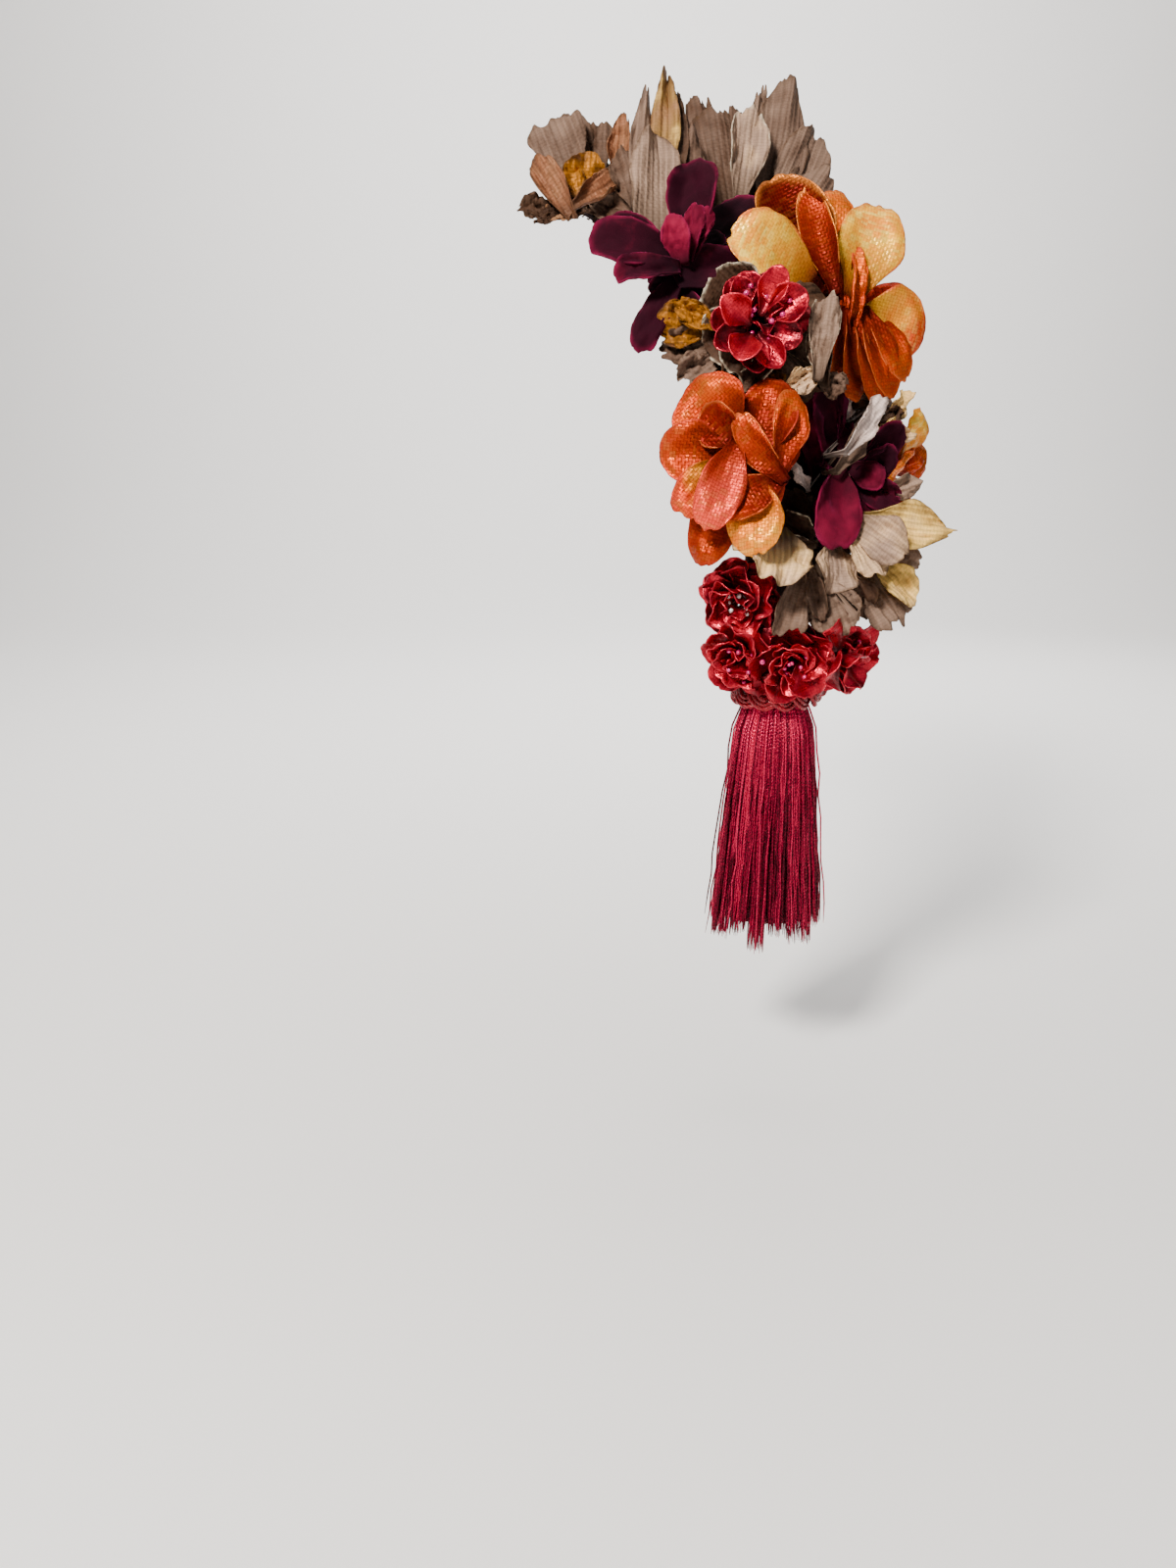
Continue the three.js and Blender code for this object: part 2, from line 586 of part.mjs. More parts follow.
// Collar: three turns of plaited cord round the tassel's neck
function makeTasselCollar() {
  const steps = 2 * COLLAR.ribs;
  const outline = [];
  for (let i = 0; i <= steps; i += 1) {
    const share = i / steps;
    const rib = COLLAR.ribDepth * Math.abs(Math.sin(share * COLLAR.ribs * Math.PI));
    const depth = COLLAR.thickness - COLLAR.ribDepth + rib;
    outline.push(new THREE.Vector2(depth, (share * 2 - 1) * COLLAR.halfHeight));
  }
  outline.push(new THREE.Vector2(0, COLLAR.halfHeight));
  outline.push(new THREE.Vector2(0, -COLLAR.halfHeight));
  outline.push(outline[0].clone());
  const profile = outline.map((point) => new THREE.Vector2(point.x + TASSEL.neckHalfWidth + GAP, point.y));
  const ring = new THREE.LatheGeometry(profile, COLLAR.sides);
  ring.rotateX(Math.PI / 2);
  ring.scale(1, TASSEL.neckHalfDepth / TASSEL.neckHalfWidth, 1);
  ring.translate(TASSEL.x, TASSEL.y, COLLAR.middle);
  return solidOf(ring);
}

// Assembly
function meshOf(name, finish, geometry) {
  const mesh = new THREE.Mesh(geometry, new THREE.MeshStandardMaterial(FINISHES[finish]));
  mesh.name = name;
  return mesh;
}

const headpiece = new THREE.Group();
headpiece.name = "flower_headpiece";
headpiece.add(meshOf("felt_base", "felt", geometryOf(makeFeltBase())));
headpiece.add(meshOf("hair_comb", "comb", geometryOf(makeHairComb())));
for (const { name, finish, solid, placement } of makeFlowers()) {
  const geometry = geometryOf(solid).applyMatrix4(placement.clone().invert());
  const flower = new THREE.Group();
  flower.applyMatrix4(placement);
  flower.add(meshOf(name, finish, geometry));
  headpiece.add(flower);
}
headpiece.add(meshOf("tassel", "tassel", geometryOf(makeTassel())));
headpiece.add(meshOf("tassel_collar", "cord", geometryOf(makeTasselCollar())));

export default headpiece;
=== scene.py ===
import math
import random

import bmesh
import bpy
from mathutils import Matrix, Vector, noise
from mathutils.bvhtree import BVHTree


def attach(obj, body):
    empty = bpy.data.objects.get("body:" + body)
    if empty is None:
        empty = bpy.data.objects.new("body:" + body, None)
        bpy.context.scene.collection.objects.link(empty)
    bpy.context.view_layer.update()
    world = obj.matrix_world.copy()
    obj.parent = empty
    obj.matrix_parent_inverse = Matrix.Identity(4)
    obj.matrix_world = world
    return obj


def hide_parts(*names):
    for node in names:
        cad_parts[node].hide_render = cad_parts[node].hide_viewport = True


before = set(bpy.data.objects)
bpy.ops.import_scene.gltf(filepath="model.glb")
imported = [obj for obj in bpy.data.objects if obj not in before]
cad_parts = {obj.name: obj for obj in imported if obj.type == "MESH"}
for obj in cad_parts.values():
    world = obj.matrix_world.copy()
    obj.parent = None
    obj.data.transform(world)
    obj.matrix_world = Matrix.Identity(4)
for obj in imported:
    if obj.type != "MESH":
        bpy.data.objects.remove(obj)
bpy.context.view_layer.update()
scene = bpy.context.scene
mm = 0.001

# Camera, floor and light
shot = {"place": (-75.62, -427.63, 19.07), "tilt": 72, "lens": 27, "sensor": 36}
studio = {
    "floor": -232, "halfWidth": 6000, "depth": 900, "ahead": 1.6, "sweep": 500, "wall": 1400, "steps": 40,
    "tone": (0.92, 0.905, 0.89), "far": (1.05, 1.04, 1.03), "farAside": (1.2, 2.4), "farAhead": (-0.7, -1.4),
    "world": 0.05, "seenWorld": 1.2,
}
lamps = {
    "key": {"place": (-420, -620, 580), "aim": (-5, -10, 10), "size": 200, "power": 20,
            "tint": (1, 0.96, 0.91)},
    "fill": {"place": (620, -560, 180), "aim": (0, 0, -20), "size": 560, "power": 1.1,
             "tint": (0.95, 0.97, 1)},
    "top": {"place": (60, 160, 820), "aim": (0, 0, 0), "size": 520, "power": 2,
            "tint": (1, 0.98, 0.95)},
    "rear": {"place": (260, 780, 300), "aim": (0, 20, 0), "size": 600, "power": 2,
             "tint": (1, 1, 1)},
    "backdrop": {"place": (-60, 420, 760), "aim": (-60, 1400, 250), "size": 900, "power": 22,
                 "tint": (1, 0.99, 0.98)},
}


def smooth(value):
    share = min(1, max(0, value))
    return share * share * (3 - 2 * share)


def mixed(a, b, share):
    return a + (b - a) * share


def linearColour(code):
    parts = [int(code[i:i + 2], 16) / 255 for i in (1, 3, 5)]
    return [p / 12.92 if p <= 0.04045 else ((p + 0.055) / 1.055) ** 2.4 for p in parts] + [1]


def makeCamera():
    camera = bpy.data.cameras.new("camera")
    camera.lens = shot["lens"]
    camera.sensor_width = shot["sensor"]
    camera.clip_start = 0.01
    holder = bpy.data.objects.new("camera", camera)
    holder.location = Vector(shot["place"]) * mm
    holder.rotation_euler = (math.radians(shot["tilt"]), 0, 0)
    scene.collection.objects.link(holder)
    scene.camera = holder


def makeLamps():
    for name, lamp in lamps.items():
        light = bpy.data.lights.new(name, "AREA")
        light.size = lamp["size"] * mm
        light.energy = lamp["power"]
        light.color = lamp["tint"]
        holder = bpy.data.objects.new(name, light)
        holder.location = Vector(lamp["place"]) * mm
        away = Vector(lamp["place"]) - Vector(lamp["aim"])
        holder.rotation_euler = away.to_track_quat("Z", "Y").to_euler()
        holder.visible_camera = False
        scene.collection.objects.link(holder)
    world = bpy.data.worlds.new("world")
    world.use_nodes = True
    tree = world.node_tree
    glow = tree.nodes["Background"]
    glow.inputs["Color"].default_value = (1, 1, 1, 1)
    seen = addNode(tree, "ShaderNodeLightPath").outputs["Is Camera Ray"]
    strength = addRange(tree, seen, 0, 1, studio["world"], studio["seenWorld"])
    tree.links.new(strength, glow.inputs["Strength"])
    scene.world = world


# Node helpers
def addNode(tree, kind, inputs=None, **settings):
    node = tree.nodes.new(kind)
    for name, value in settings.items():
        setattr(node, name, value)
    for name, value in (inputs or {}).items():
        if isinstance(value, bpy.types.NodeSocket):
            tree.links.new(value, node.inputs[name])
        else:
            node.inputs[name].default_value = value
    return node


def addMath(tree, operation, a, b=0.0):
    node = addNode(tree, "ShaderNodeMath", {0: a, 1: b}, operation=operation)
    return node.outputs[0]


def addMix(tree, share, a, b):
    node = addNode(tree, "ShaderNodeMix", {"Factor": share, 6: a, 7: b}, data_type="RGBA")
    return node.outputs[2]


def addRange(tree, value, fromMin, fromMax, toMin=0.0, toMax=1.0):
    sizes = {"Value": value, "From Min": fromMin, "From Max": fromMax, "To Min": toMin, "To Max": toMax}
    return addNode(tree, "ShaderNodeMapRange", sizes).outputs[0]


def addRamp(tree, value, stops):
    node = addNode(tree, "ShaderNodeValToRGB", {"Fac": value})
    elements = node.color_ramp.elements
    while len(elements) < len(stops):
        elements.new(0.5)
    for element, (place, code) in zip(elements, stops):
        element.position = place
        element.color = linearColour(code)
    return node.outputs["Color"]


def startGroup(name, inputs, outputs):
    group = bpy.data.node_groups.new(name, "ShaderNodeTree")
    for socket, value in inputs.items():
        made = group.interface.new_socket(socket, in_out="INPUT", socket_type="NodeSocketFloat")
        made.default_value = value
    for socket in outputs:
        group.interface.new_socket(socket, in_out="OUTPUT", socket_type="NodeSocketFloat")
    start = group.nodes.new("NodeGroupInput")
    end = group.nodes.new("NodeGroupOutput")
    return group, start.outputs, end.inputs


def addGroup(tree, group, inputs=None):
    node = tree.nodes.new("ShaderNodeGroup")
    node.node_tree = group
    for name, value in (inputs or {}).items():
        node.inputs[name].default_value = value
    return node.outputs


# Petal marks: which colour a petal has, how near the rim a point is, and how far along the petal
def makePetalMarks():
    group, start, end = startGroup("petalMarks", {"rimStart": 0.8}, ["tone", "rim", "share", "edge"])
    for name in ("tone", "share", "edge"):
        mark = addNode(group, "ShaderNodeAttribute", attribute_name="petal" + name.title())
        group.links.new(mark.outputs["Fac"], end[name])
    mark = addNode(group, "ShaderNodeAttribute", attribute_name="petalRim")
    rim = addNode(group, "ShaderNodeMapRange", {"Value": mark.outputs["Fac"], "From Min": start["rimStart"]},
                  interpolation_type="SMOOTHSTEP")
    group.links.new(rim.outputs[0], end["rim"])
    return group


# Weave: threads over and under one another, with a chance value for each short length of thread
def makeWeave():
    group, start, end = startGroup("clothWeave", {"threads": 2.6, "run": 0.3}, ["height", "glint"])
    uv = addNode(group, "ShaderNodeUVMap", uv_map="cloth")
    split = addNode(group, "ShaderNodeSeparateXYZ", {0: uv.outputs[0]})
    u = addMath(group, "MULTIPLY", split.outputs[0], start["threads"])
    v = addMath(group, "MULTIPLY", split.outputs[1], start["threads"])
    warp = addMath(group, "ABSOLUTE", addMath(group, "SINE", addMath(group, "MULTIPLY", u, math.pi)))
    weft = addMath(group, "ABSOLUTE", addMath(group, "SINE", addMath(group, "MULTIPLY", v, math.pi)))
    square = addMath(group, "ADD", addMath(group, "FLOOR", u), addMath(group, "FLOOR", v))
    over = addMath(group, "PINGPONG", square, 1)
    height = addNode(group, "ShaderNodeMix", {"Factor": over, 2: warp, 3: weft})
    group.links.new(height.outputs[0], end["height"])
    lengthU = addMath(group, "FLOOR", addMath(group, "MULTIPLY", u, start["run"]))
    lengthV = addMath(group, "FLOOR", v)
    place = addNode(group, "ShaderNodeCombineXYZ", {0: lengthU, 1: lengthV})
    chance = addNode(group, "ShaderNodeTexWhiteNoise", {"Vector": place.outputs[0]}, noise_dimensions="2D")
    group.links.new(chance.outputs["Value"], end["glint"])
    return group


# Mottle: broad and fine unevenness of a dyed cloth
def makeMottle():
    group, start, end = startGroup("dyeMottle", {"broadScale": 90, "fineScale": 700}, ["broad", "fine"])
    place = addNode(group, "ShaderNodeTexCoord")
    for name, detail in (("broad", 3), ("fine", 4)):
        sizes = {"Vector": place.outputs["Object"], "Scale": start[name + "Scale"], "Detail": detail}
        made = addNode(group, "ShaderNodeTexNoise", sizes)
        group.links.new(made.outputs["Fac"], end[name])
    return group


# Twist: the slanting plies of a spun thread or a cord
def makeTwist():
    group, start, end = startGroup("threadTwist", {"plies": 2, "pace": 1.1}, ["height", "glint"])
    uv = addNode(group, "ShaderNodeUVMap", uv_map="cloth")
    split = addNode(group, "ShaderNodeSeparateXYZ", {0: uv.outputs[0]})
    around = addMath(group, "MULTIPLY", split.outputs[0], start["plies"])
    along = addMath(group, "MULTIPLY", split.outputs[1], start["pace"])
    slant = addMath(group, "ADD", around, along)
    wave = addMath(group, "SINE", addMath(group, "MULTIPLY", slant, math.pi))
    group.links.new(addMath(group, "ABSOLUTE", wave), end["height"])
    slantStep = addMath(group, "FLOOR", slant)
    alongStep = addMath(group, "FLOOR", along)
    steps = addNode(group, "ShaderNodeCombineXYZ", {0: slantStep, 1: alongStep})
    chance = addNode(group, "ShaderNodeTexWhiteNoise", {"Vector": steps.outputs[0]}, noise_dimensions="2D")
    group.links.new(chance.outputs["Value"], end["glint"])
    return group


petalMarks = makePetalMarks()
clothWeave = makeWeave()
dyeMottle = makeMottle()
threadTwist = makeTwist()


def startMaterial(name, finish):
    material = bpy.data.materials.new(name)
    material.use_nodes = True
    tree = material.node_tree
    shader = tree.nodes["Principled BSDF"]
    for socket, value in finish.items():
        shader.inputs[socket].default_value = value
    return material, tree, shader


def addBump(tree, shader, height, strength, distance):
    bump = addNode(tree, "ShaderNodeBump", {"Height": height, "Strength": strength, "Distance": distance})
    tree.links.new(bump.outputs[0], shader.inputs["Normal"])


# Orange satin: shot gold over rust, with a rose rim, painted gold glints, a painted highlight on its pale
# rims and painted shade towards its foot
orangeSatin = {
    "tones": [(0, "#380303"), (0.22, "#7c1404"), (0.46, "#be3402"), (0.62, "#e86c00"), (0.76, "#ffba18"),
              (0.88, "#d23c10"), (1, "#ec4638")],
    "rim": "#c0262a",
    "paleRim": "#f29a3c",
    "foot": "#4a0804",
    "groove": "#7c1804",
    "gold": "#ffe668",
    "dash": "#ec9424",
    "goldCloth": [(0, "#000000"), (0.6, "#0c0c0c"), (0.72, "#ffffff"), (0.8, "#ffffff"), (0.86, "#202020"),
                  (1, "#101010")],
    "marks": {"rimStart": 0.86},
    "weave": {"threads": 0.95, "run": 0.4},
    "mottle": {"broadScale": 110, "fineScale": 900},
    "bump": (0.4, 0.00025),
    "finish": {"Specular IOR Level": 0.12},
}


def makeOrangeSatin(look):
    material, tree, shader = startMaterial("orange_satin", look["finish"])
    marks = addGroup(tree, petalMarks, look["marks"])
    weave = addGroup(tree, clothWeave, look["weave"])
    mottle = addGroup(tree, dyeMottle, look["mottle"])
    drift = addRange(tree, mottle["broad"], 0.3, 0.7, -0.05, 0.05)
    fade = addRange(tree, marks["share"], 0.1, 0.8, -0.1, 0.03)
    shade = addMath(tree, "ADD", marks["tone"], addMath(tree, "ADD", drift, fade))
    tone = addRamp(tree, shade, look["tones"])
    goldCloth = addRamp(tree, marks["tone"], look["goldCloth"])
    # painted glints: gold mixed into the colour on random short lengths of thread, stronger on the gold cloth
    # and towards the tip
    glint = addMath(tree, "POWER", weave["glint"], 3)
    plainGlint = addRange(tree, marks["tone"], 0.2, 0.5, 0.0, 0.14)
    glintShare = addMath(tree, "MAXIMUM", plainGlint, addMath(tree, "MULTIPLY", goldCloth, 0.85))
    shine = addMath(tree, "MULTIPLY", glint, glintShare)
    dashShare = addRange(tree, weave["glint"], 0, 0.5, 0.6, 0.0)
    dull = addMath(tree, "MULTIPLY", dashShare, addMath(tree, "MAXIMUM", goldCloth, 0.12))
    dashed = addMix(tree, dull, tone, linearColour(look["dash"]))
    lit = addMix(tree, addMath(tree, "MULTIPLY", shine, marks["share"]), dashed, linearColour(look["gold"]))
    hollow = addRange(tree, weave["height"], 0.1, 0.8, 0.6, 0.0)
    hold = addRange(tree, goldCloth, 0, 1, 1, 0.25)
    woven = addMix(tree, addMath(tree, "MULTIPLY", hollow, hold), lit, linearColour(look["groove"]))
    # darker towards the foot: partly the cloth's deeper red at its base, partly painted shade where petals
    # overlap
    footShadeShare = addRange(tree, marks["share"], 0.0, 0.65, 0.95, 0.0)
    deep = addMix(tree, footShadeShare, woven, linearColour(look["foot"]))
    # rose rim of the cloth's own dye, broken up at random; where edge is high the rim is pale, a painted
    # highlight on rolled rims
    patchy = addRange(tree, mottle["broad"], 0.35, 0.65, 0.25, 0.85)
    rimShare = addMath(tree, "MULTIPLY", marks["rim"], patchy)
    rim = addMix(tree, marks["edge"], linearColour(look["rim"]), linearColour(look["paleRim"]))
    tree.links.new(addMix(tree, rimShare, deep, rim), shader.inputs["Base Color"])
    tree.links.new(addRange(tree, goldCloth, 0, 1, 0.6, 0.22), shader.inputs["Metallic"])
    gloss = addMath(tree, "MULTIPLY", weave["glint"], addRange(tree, goldCloth, 0, 1, 0.22, 0.3))
    tree.links.new(addMath(tree, "SUBTRACT", 0.6, gloss), shader.inputs["Roughness"])
    addBump(tree, shader, weave["height"], *look["bump"])
    return material


# Burgundy velvet: a dark pile with a painted sheen at its rim and painted shade towards its foot
burgundyVelvet = {
    "tones": [(0, "#0e0107"), (0.5, "#2c0413"), (1, "#821232")],
    "rim": "#7a1238",
    "foot": "#0c0106",
    "marks": {"rimStart": 0.82},
    "mottle": {"broadScale": 160, "fineScale": 2600},
    "bump": (0.5, 0.0003),
    "finish": {"Roughness": 0.85, "Sheen Weight": 0.5, "Sheen Roughness": 0.3,
               "Sheen Tint": (0.7, 0.07, 0.24, 1), "Specular IOR Level": 0.08},
}


def makeBurgundyVelvet(look):
    material, tree, shader = startMaterial("burgundy_velvet", look["finish"])
    marks = addGroup(tree, petalMarks, look["marks"])
    mottle = addGroup(tree, dyeMottle, look["mottle"])
    drift = addRange(tree, mottle["broad"], 0.3, 0.7, -0.1, 0.12)
    tone = addRamp(tree, addMath(tree, "ADD", marks["tone"], drift), look["tones"])
    # painted shade towards the petal's foot
    footShadeShare = addRange(tree, marks["share"], 0.05, 0.5, 0.8, 0.0)
    deep = addMix(tree, footShadeShare, tone, linearColour(look["foot"]))
    # painted sheen: a lighter magenta rim where the velvet pile would catch the light, broken up at random
    patchy = addRange(tree, mottle["broad"], 0.35, 0.6, 0.0, 0.7)
    rimShare = addMath(tree, "MULTIPLY", marks["rim"], patchy)
    tree.links.new(addMix(tree, rimShare, deep, linearColour(look["rim"])), shader.inputs["Base Color"])
    addBump(tree, shader, mottle["fine"], *look["bump"])
    return material


# Taupe silk: pleated greys, browns, cream, copper and pearl, darker with wear at the torn rim, with painted
# shade in its pleats, ribs and towards its foot and a painted highlight on its pale rims
taupeSilk = {
    "tones": [(0, "#28140a"), (0.1, "#4a3224"), (0.2, "#70584a"), (0.4, "#a68873"), (0.5, "#eabf90"),
              (0.6, "#ffd070"), (0.66, "#94703e"), (0.72, "#966a4a"), (0.8, "#8e5a3e"), (0.88, "#502c0c"),
              (0.92, "#a0620c"), (0.97, "#a86a18"), (1, "#e4cabe")],
    "shine": [(0, "#000000"), (0.55, "#1a1a1a"), (0.6, "#555555"), (0.7, "#333333"), (0.9, "#8c8c8c"),
              (1, "#262626")],
    "pleat": "#36291f",
    "rim": "#4a3422",
    "paleRim": "#f2e2c4",
    "marks": {"rimStart": 0.88},
    "weave": {"threads": 0.9, "run": 0.35},
    "mottle": {"broadScale": 120, "fineScale": 520},
    "bump": (0.4, 0.0003),
    "finish": {"Specular IOR Level": 0.1, "Coat Roughness": 0.18},
}


def makeTaupeSilk(look):
    material, tree, shader = startMaterial("taupe_silk", look["finish"])
    marks = addGroup(tree, petalMarks, look["marks"])
    weave = addGroup(tree, clothWeave, look["weave"])
    mottle = addGroup(tree, dyeMottle, look["mottle"])
    drift = addRange(tree, mottle["broad"], 0.3, 0.7, -0.05, 0.05)
    tone = addRamp(tree, addMath(tree, "ADD", marks["tone"], drift), look["tones"])
    pleatMark = addNode(tree, "ShaderNodeAttribute", attribute_name="petalPleat").outputs["Fac"]
    # painted shade in the troughs of the pleats, following the pleat of the shape
    pleatDepth = addRange(tree, pleatMark, 0.1, -0.9, 0.0, 0.25)
    pleatShadeShare = addMath(tree, "MULTIPLY", pleatDepth, marks["share"])
    pleatShadedTone = addMix(tree, pleatShadeShare, tone, linearColour(look["pleat"]))
    uv = addNode(tree, "ShaderNodeUVMap", uv_map="cloth")
    across = addNode(tree, "ShaderNodeSeparateXYZ", {0: uv.outputs[0]})
    stripes = addMath(tree, "MULTIPLY", across.outputs[0], 3.2)
    wander = addMath(tree, "ADD", stripes, addMath(tree, "MULTIPLY", mottle["broad"], 2.5))
    ribs = addMath(tree, "SINE", wander)
    # painted shade in the troughs of the ribs that the bump also raises
    ribShadeShare = addRange(tree, ribs, 0.6, -1, 0.0, 0.24)
    ribShadedTone = addMix(tree, ribShadeShare, pleatShadedTone, linearColour(look["pleat"]))
    lines = addRange(tree, weave["height"], 0.1, 0.8, 0.26, 0.0)
    woven = addMix(tree, lines, ribShadedTone, linearColour(look["pleat"]))
    # painted shade towards the petal's foot
    footShadeShare = addRange(tree, marks["share"], 0.02, 0.45, 0.75, 0.0)
    deep = addMix(tree, footShadeShare, woven, linearColour(look["pleat"]))
    # rim: dark brown where frayed, and where edge is high a pale cream painted highlight on folded edges
    frayAndHighlight = addRange(tree, mottle["fine"], 0.4, 0.6, 0.2, 0.85)
    rimShare = addMath(tree, "MULTIPLY", marks["rim"], frayAndHighlight)
    paleShare = addRange(tree, marks["edge"], 0.2, 1)
    rim = addMix(tree, paleShare, linearColour(look["rim"]), linearColour(look["paleRim"]))
    tree.links.new(addMix(tree, rimShare, deep, rim), shader.inputs["Base Color"])
    shine = addRamp(tree, marks["tone"], look["shine"])
    tree.links.new(shine, shader.inputs["Metallic"])
    pearl = addRange(tree, marks["tone"], 0.98, 1.04)
    tree.links.new(addMath(tree, "MULTIPLY", pearl, 0.7), shader.inputs["Coat Weight"])
    matt = addRange(tree, shine, 0.05, 0.4, 0.72, 0.42)
    gloss = addMath(tree, "MULTIPLY", weave["glint"], 0.14)
    tree.links.new(addMath(tree, "SUBTRACT", matt, gloss), shader.inputs["Roughness"])
    patchy = addMath(tree, "ADD", weave["height"], addMath(tree, "MULTIPLY", mottle["fine"], 2.0))
    addBump(tree, shader, addMath(tree, "ADD", patchy, ribs), *look["bump"])
    return material


# Red satin: a painted highlight on its lifted rims, painted shade towards its foot and darker hollows in its
# weave
redSatin = {
    "tones": [(0, "#4c0612"), (0.5, "#a60824"), (1, "#f02640")],
    "rim": "#ee344a",
    "foot": "#2c0206",
    "marks": {"rimStart": 0.9},
    "weave": {"threads": 1.05, "run": 0.3},
    "mottle": {"broadScale": 160, "fineScale": 900},
    "bump": (0.22, 0.0002),
    "finish": {"Metallic": 0.75, "Specular IOR Level": 0.4},
}


def makeRedSatin(look):
    material, tree, shader = startMaterial("red_satin", look["finish"])
    marks = addGroup(tree, petalMarks, look["marks"])
    weave = addGroup(tree, clothWeave, look["weave"])
    mottle = addGroup(tree, dyeMottle, look["mottle"])
    drift = addRange(tree, mottle["broad"], 0.3, 0.7, -0.3, 0.3)
    tone = addRamp(tree, addMath(tree, "ADD", marks["tone"], drift), look["tones"])
    # painted shade towards the petal's foot
    footShadeShare = addRange(tree, marks["share"], 0.05, 0.5, 0.9, 0.0)
    hollow = addRange(tree, weave["height"], 0.1, 0.7, 0.45, 0.0)
    woven = addMix(tree, hollow, tone, linearColour(look["foot"]))
    deep = addMix(tree, footShadeShare, woven, linearColour(look["foot"]))
    # painted highlight: a bright rim on the lifted edges, broken up at random
    patchy = addRange(tree, mottle["fine"], 0.4, 0.65, 0.1, 0.8)
    rimShare = addMath(tree, "MULTIPLY", marks["rim"], patchy)
    tree.links.new(addMix(tree, rimShare, deep, linearColour(look["rim"])), shader.inputs["Base Color"])
    tree.links.new(addRange(tree, weave["glint"], 0, 1, 0.46, 0.26), shader.inputs["Roughness"])
    addBump(tree, shader, weave["height"], *look["bump"])
    return material


# Spun thread and satin cord
tasselThread = {
    "tones": [(0, "#20020c"), (0.5, "#840a2c"), (1, "#e41e54")],
    "twist": {"plies": 1, "pace": 0.8},
    "bump": (0.6, 0.0004),
    # fade lightens the threads near the top of the tassel: painted light from above
    "fade": 0.26,
    "finish": {"Metallic": 0.55, "Specular IOR Level": 0.25},
}
satinCord = {
    "tones": [(0, "#4a040c"), (0.5, "#8c0e1e"), (1, "#b01a2c")],
    "twist": {"plies": 2, "pace": 0.7},
    "bump": (0.6, 0.0003),
    "fade": 0,
    "finish": {"Metallic": 0.25, "Specular IOR Level": 0.5},
}


def makeSpun(name, look):
    material, tree, shader = startMaterial(name, look["finish"])
    marks = addGroup(tree, petalMarks)
    twist = addGroup(tree, threadTwist, look["twist"])
    mottle = addGroup(tree, dyeMottle, {"broadScale": 60, "fineScale": 1500})
    drift = addRange(tree, mottle["fine"], 0.3, 0.7, -0.25, 0.25)
    # painted light: threads lighter near the top of the tassel
    paintedTopLight = addRange(tree, marks["share"], 0, 0.5, look["fade"], 0)
    lit = addMath(tree, "ADD", addMath(tree, "ADD", marks["tone"], drift), paintedTopLight)
    groove = addRange(tree, twist["height"], 0, 0.6, -0.45, 0.0)
    tone = addRamp(tree, addMath(tree, "ADD", lit, groove), look["tones"])
    tree.links.new(tone, shader.inputs["Base Color"])
    tree.links.new(addRange(tree, twist["glint"], 0, 1, 0.42, 0.2), shader.inputs["Roughness"])
    addBump(tree, shader, twist["height"], *look["bump"])
    return material


# Felt, comb, stem tape and pearls
feltWool = {"tones": [(0, "#120a0c"), (0.5, "#2a191c"), (1, "#46302f")],
            "mottle": {"broadScale": 240, "fineScale": 2200}, "bump": (0.5, 0.0006),
            "finish": {"Roughness": 0.95, "Sheen Weight": 0.12, "Sheen Roughness": 0.5,
                       "Specular IOR Level": 0.1}}
combShell = {"tones": [(0.3, "#1c0e06"), (0.5, "#4a2a12"), (0.7, "#8a5a26")],
             "mottle": {"broadScale": 90, "fineScale": 260}, "bump": (0.5, 0.00005),
             "finish": {"Roughness": 0.22, "Coat Weight": 0.4, "Coat Roughness": 0.1}}
stemTape = {"tones": [(0.2, "#2c2116"), (0.6, "#4d3c28"), (0.9, "#6a5438")],
            "mottle": {"broadScale": 300, "fineScale": 1600}, "bump": (0.5, 0.0004),
            "finish": {"Roughness": 0.85, "Specular IOR Level": 0.2}}
pearlPink = {"tones": [(0.2, "#b00c50"), (0.6, "#ee2c86"), (0.9, "#ff7ab8")],
             "mottle": {"broadScale": 400, "fineScale": 900}, "bump": (0.5, 0.00002),
             "finish": {"Roughness": 0.22, "Metallic": 0.5, "Coat Weight": 0.5, "Coat Roughness": 0.06}}
pearlPale = {"tones": [(0.2, "#d8ccc4"), (0.6, "#f4ece6"), (0.9, "#ffffff")],
             "mottle": {"broadScale": 400, "fineScale": 900}, "bump": (0.5, 0.00002),
             "finish": {"Roughness": 0.2, "Metallic": 0.1, "Coat Weight": 0.8, "Coat Roughness": 0.06}}


def makeMottled(name, look):
    material, tree, shader = startMaterial(name, look["finish"])
    mottle = addGroup(tree, dyeMottle, look["mottle"])
    both = addMath(tree, "MULTIPLY", addMath(tree, "ADD", mottle["broad"], mottle["fine"]), 0.5)
    tone = addRamp(tree, addRange(tree, both, 0.3, 0.7), look["tones"])
    tree.links.new(tone, shader.inputs["Base Color"])
    addBump(tree, shader, mottle["fine"], *look["bump"])
    return material


materials = {
    "orange": makeOrangeSatin(orangeSatin),
    "burgundy": makeBurgundyVelvet(burgundyVelvet),
    "taupe": makeTaupeSilk(taupeSilk),
    "red": makeRedSatin(redSatin),
    "thread": makeSpun("tassel_thread", tasselThread),
    "cord": makeSpun("satin_cord", satinCord),
    "felt": makeMottled("felt_wool", feltWool),
    "comb": makeMottled("comb_shell", combShell),
    "stem": makeMottled("stem_tape", stemTape),
    "pearl": makeMottled("pearl_pink", pearlPink),
    "pale": makeMottled("pearl_pale", pearlPale),
}
print("materials made")


# Mesh helpers
def startMesh():
    bm = bmesh.new()
    bm.loops.layers.uv.new("cloth")
    for name in ("petalTone", "petalRim", "petalShare", "petalEdge", "petalPleat"):
        bm.verts.layers.float.new(name)
    return bm


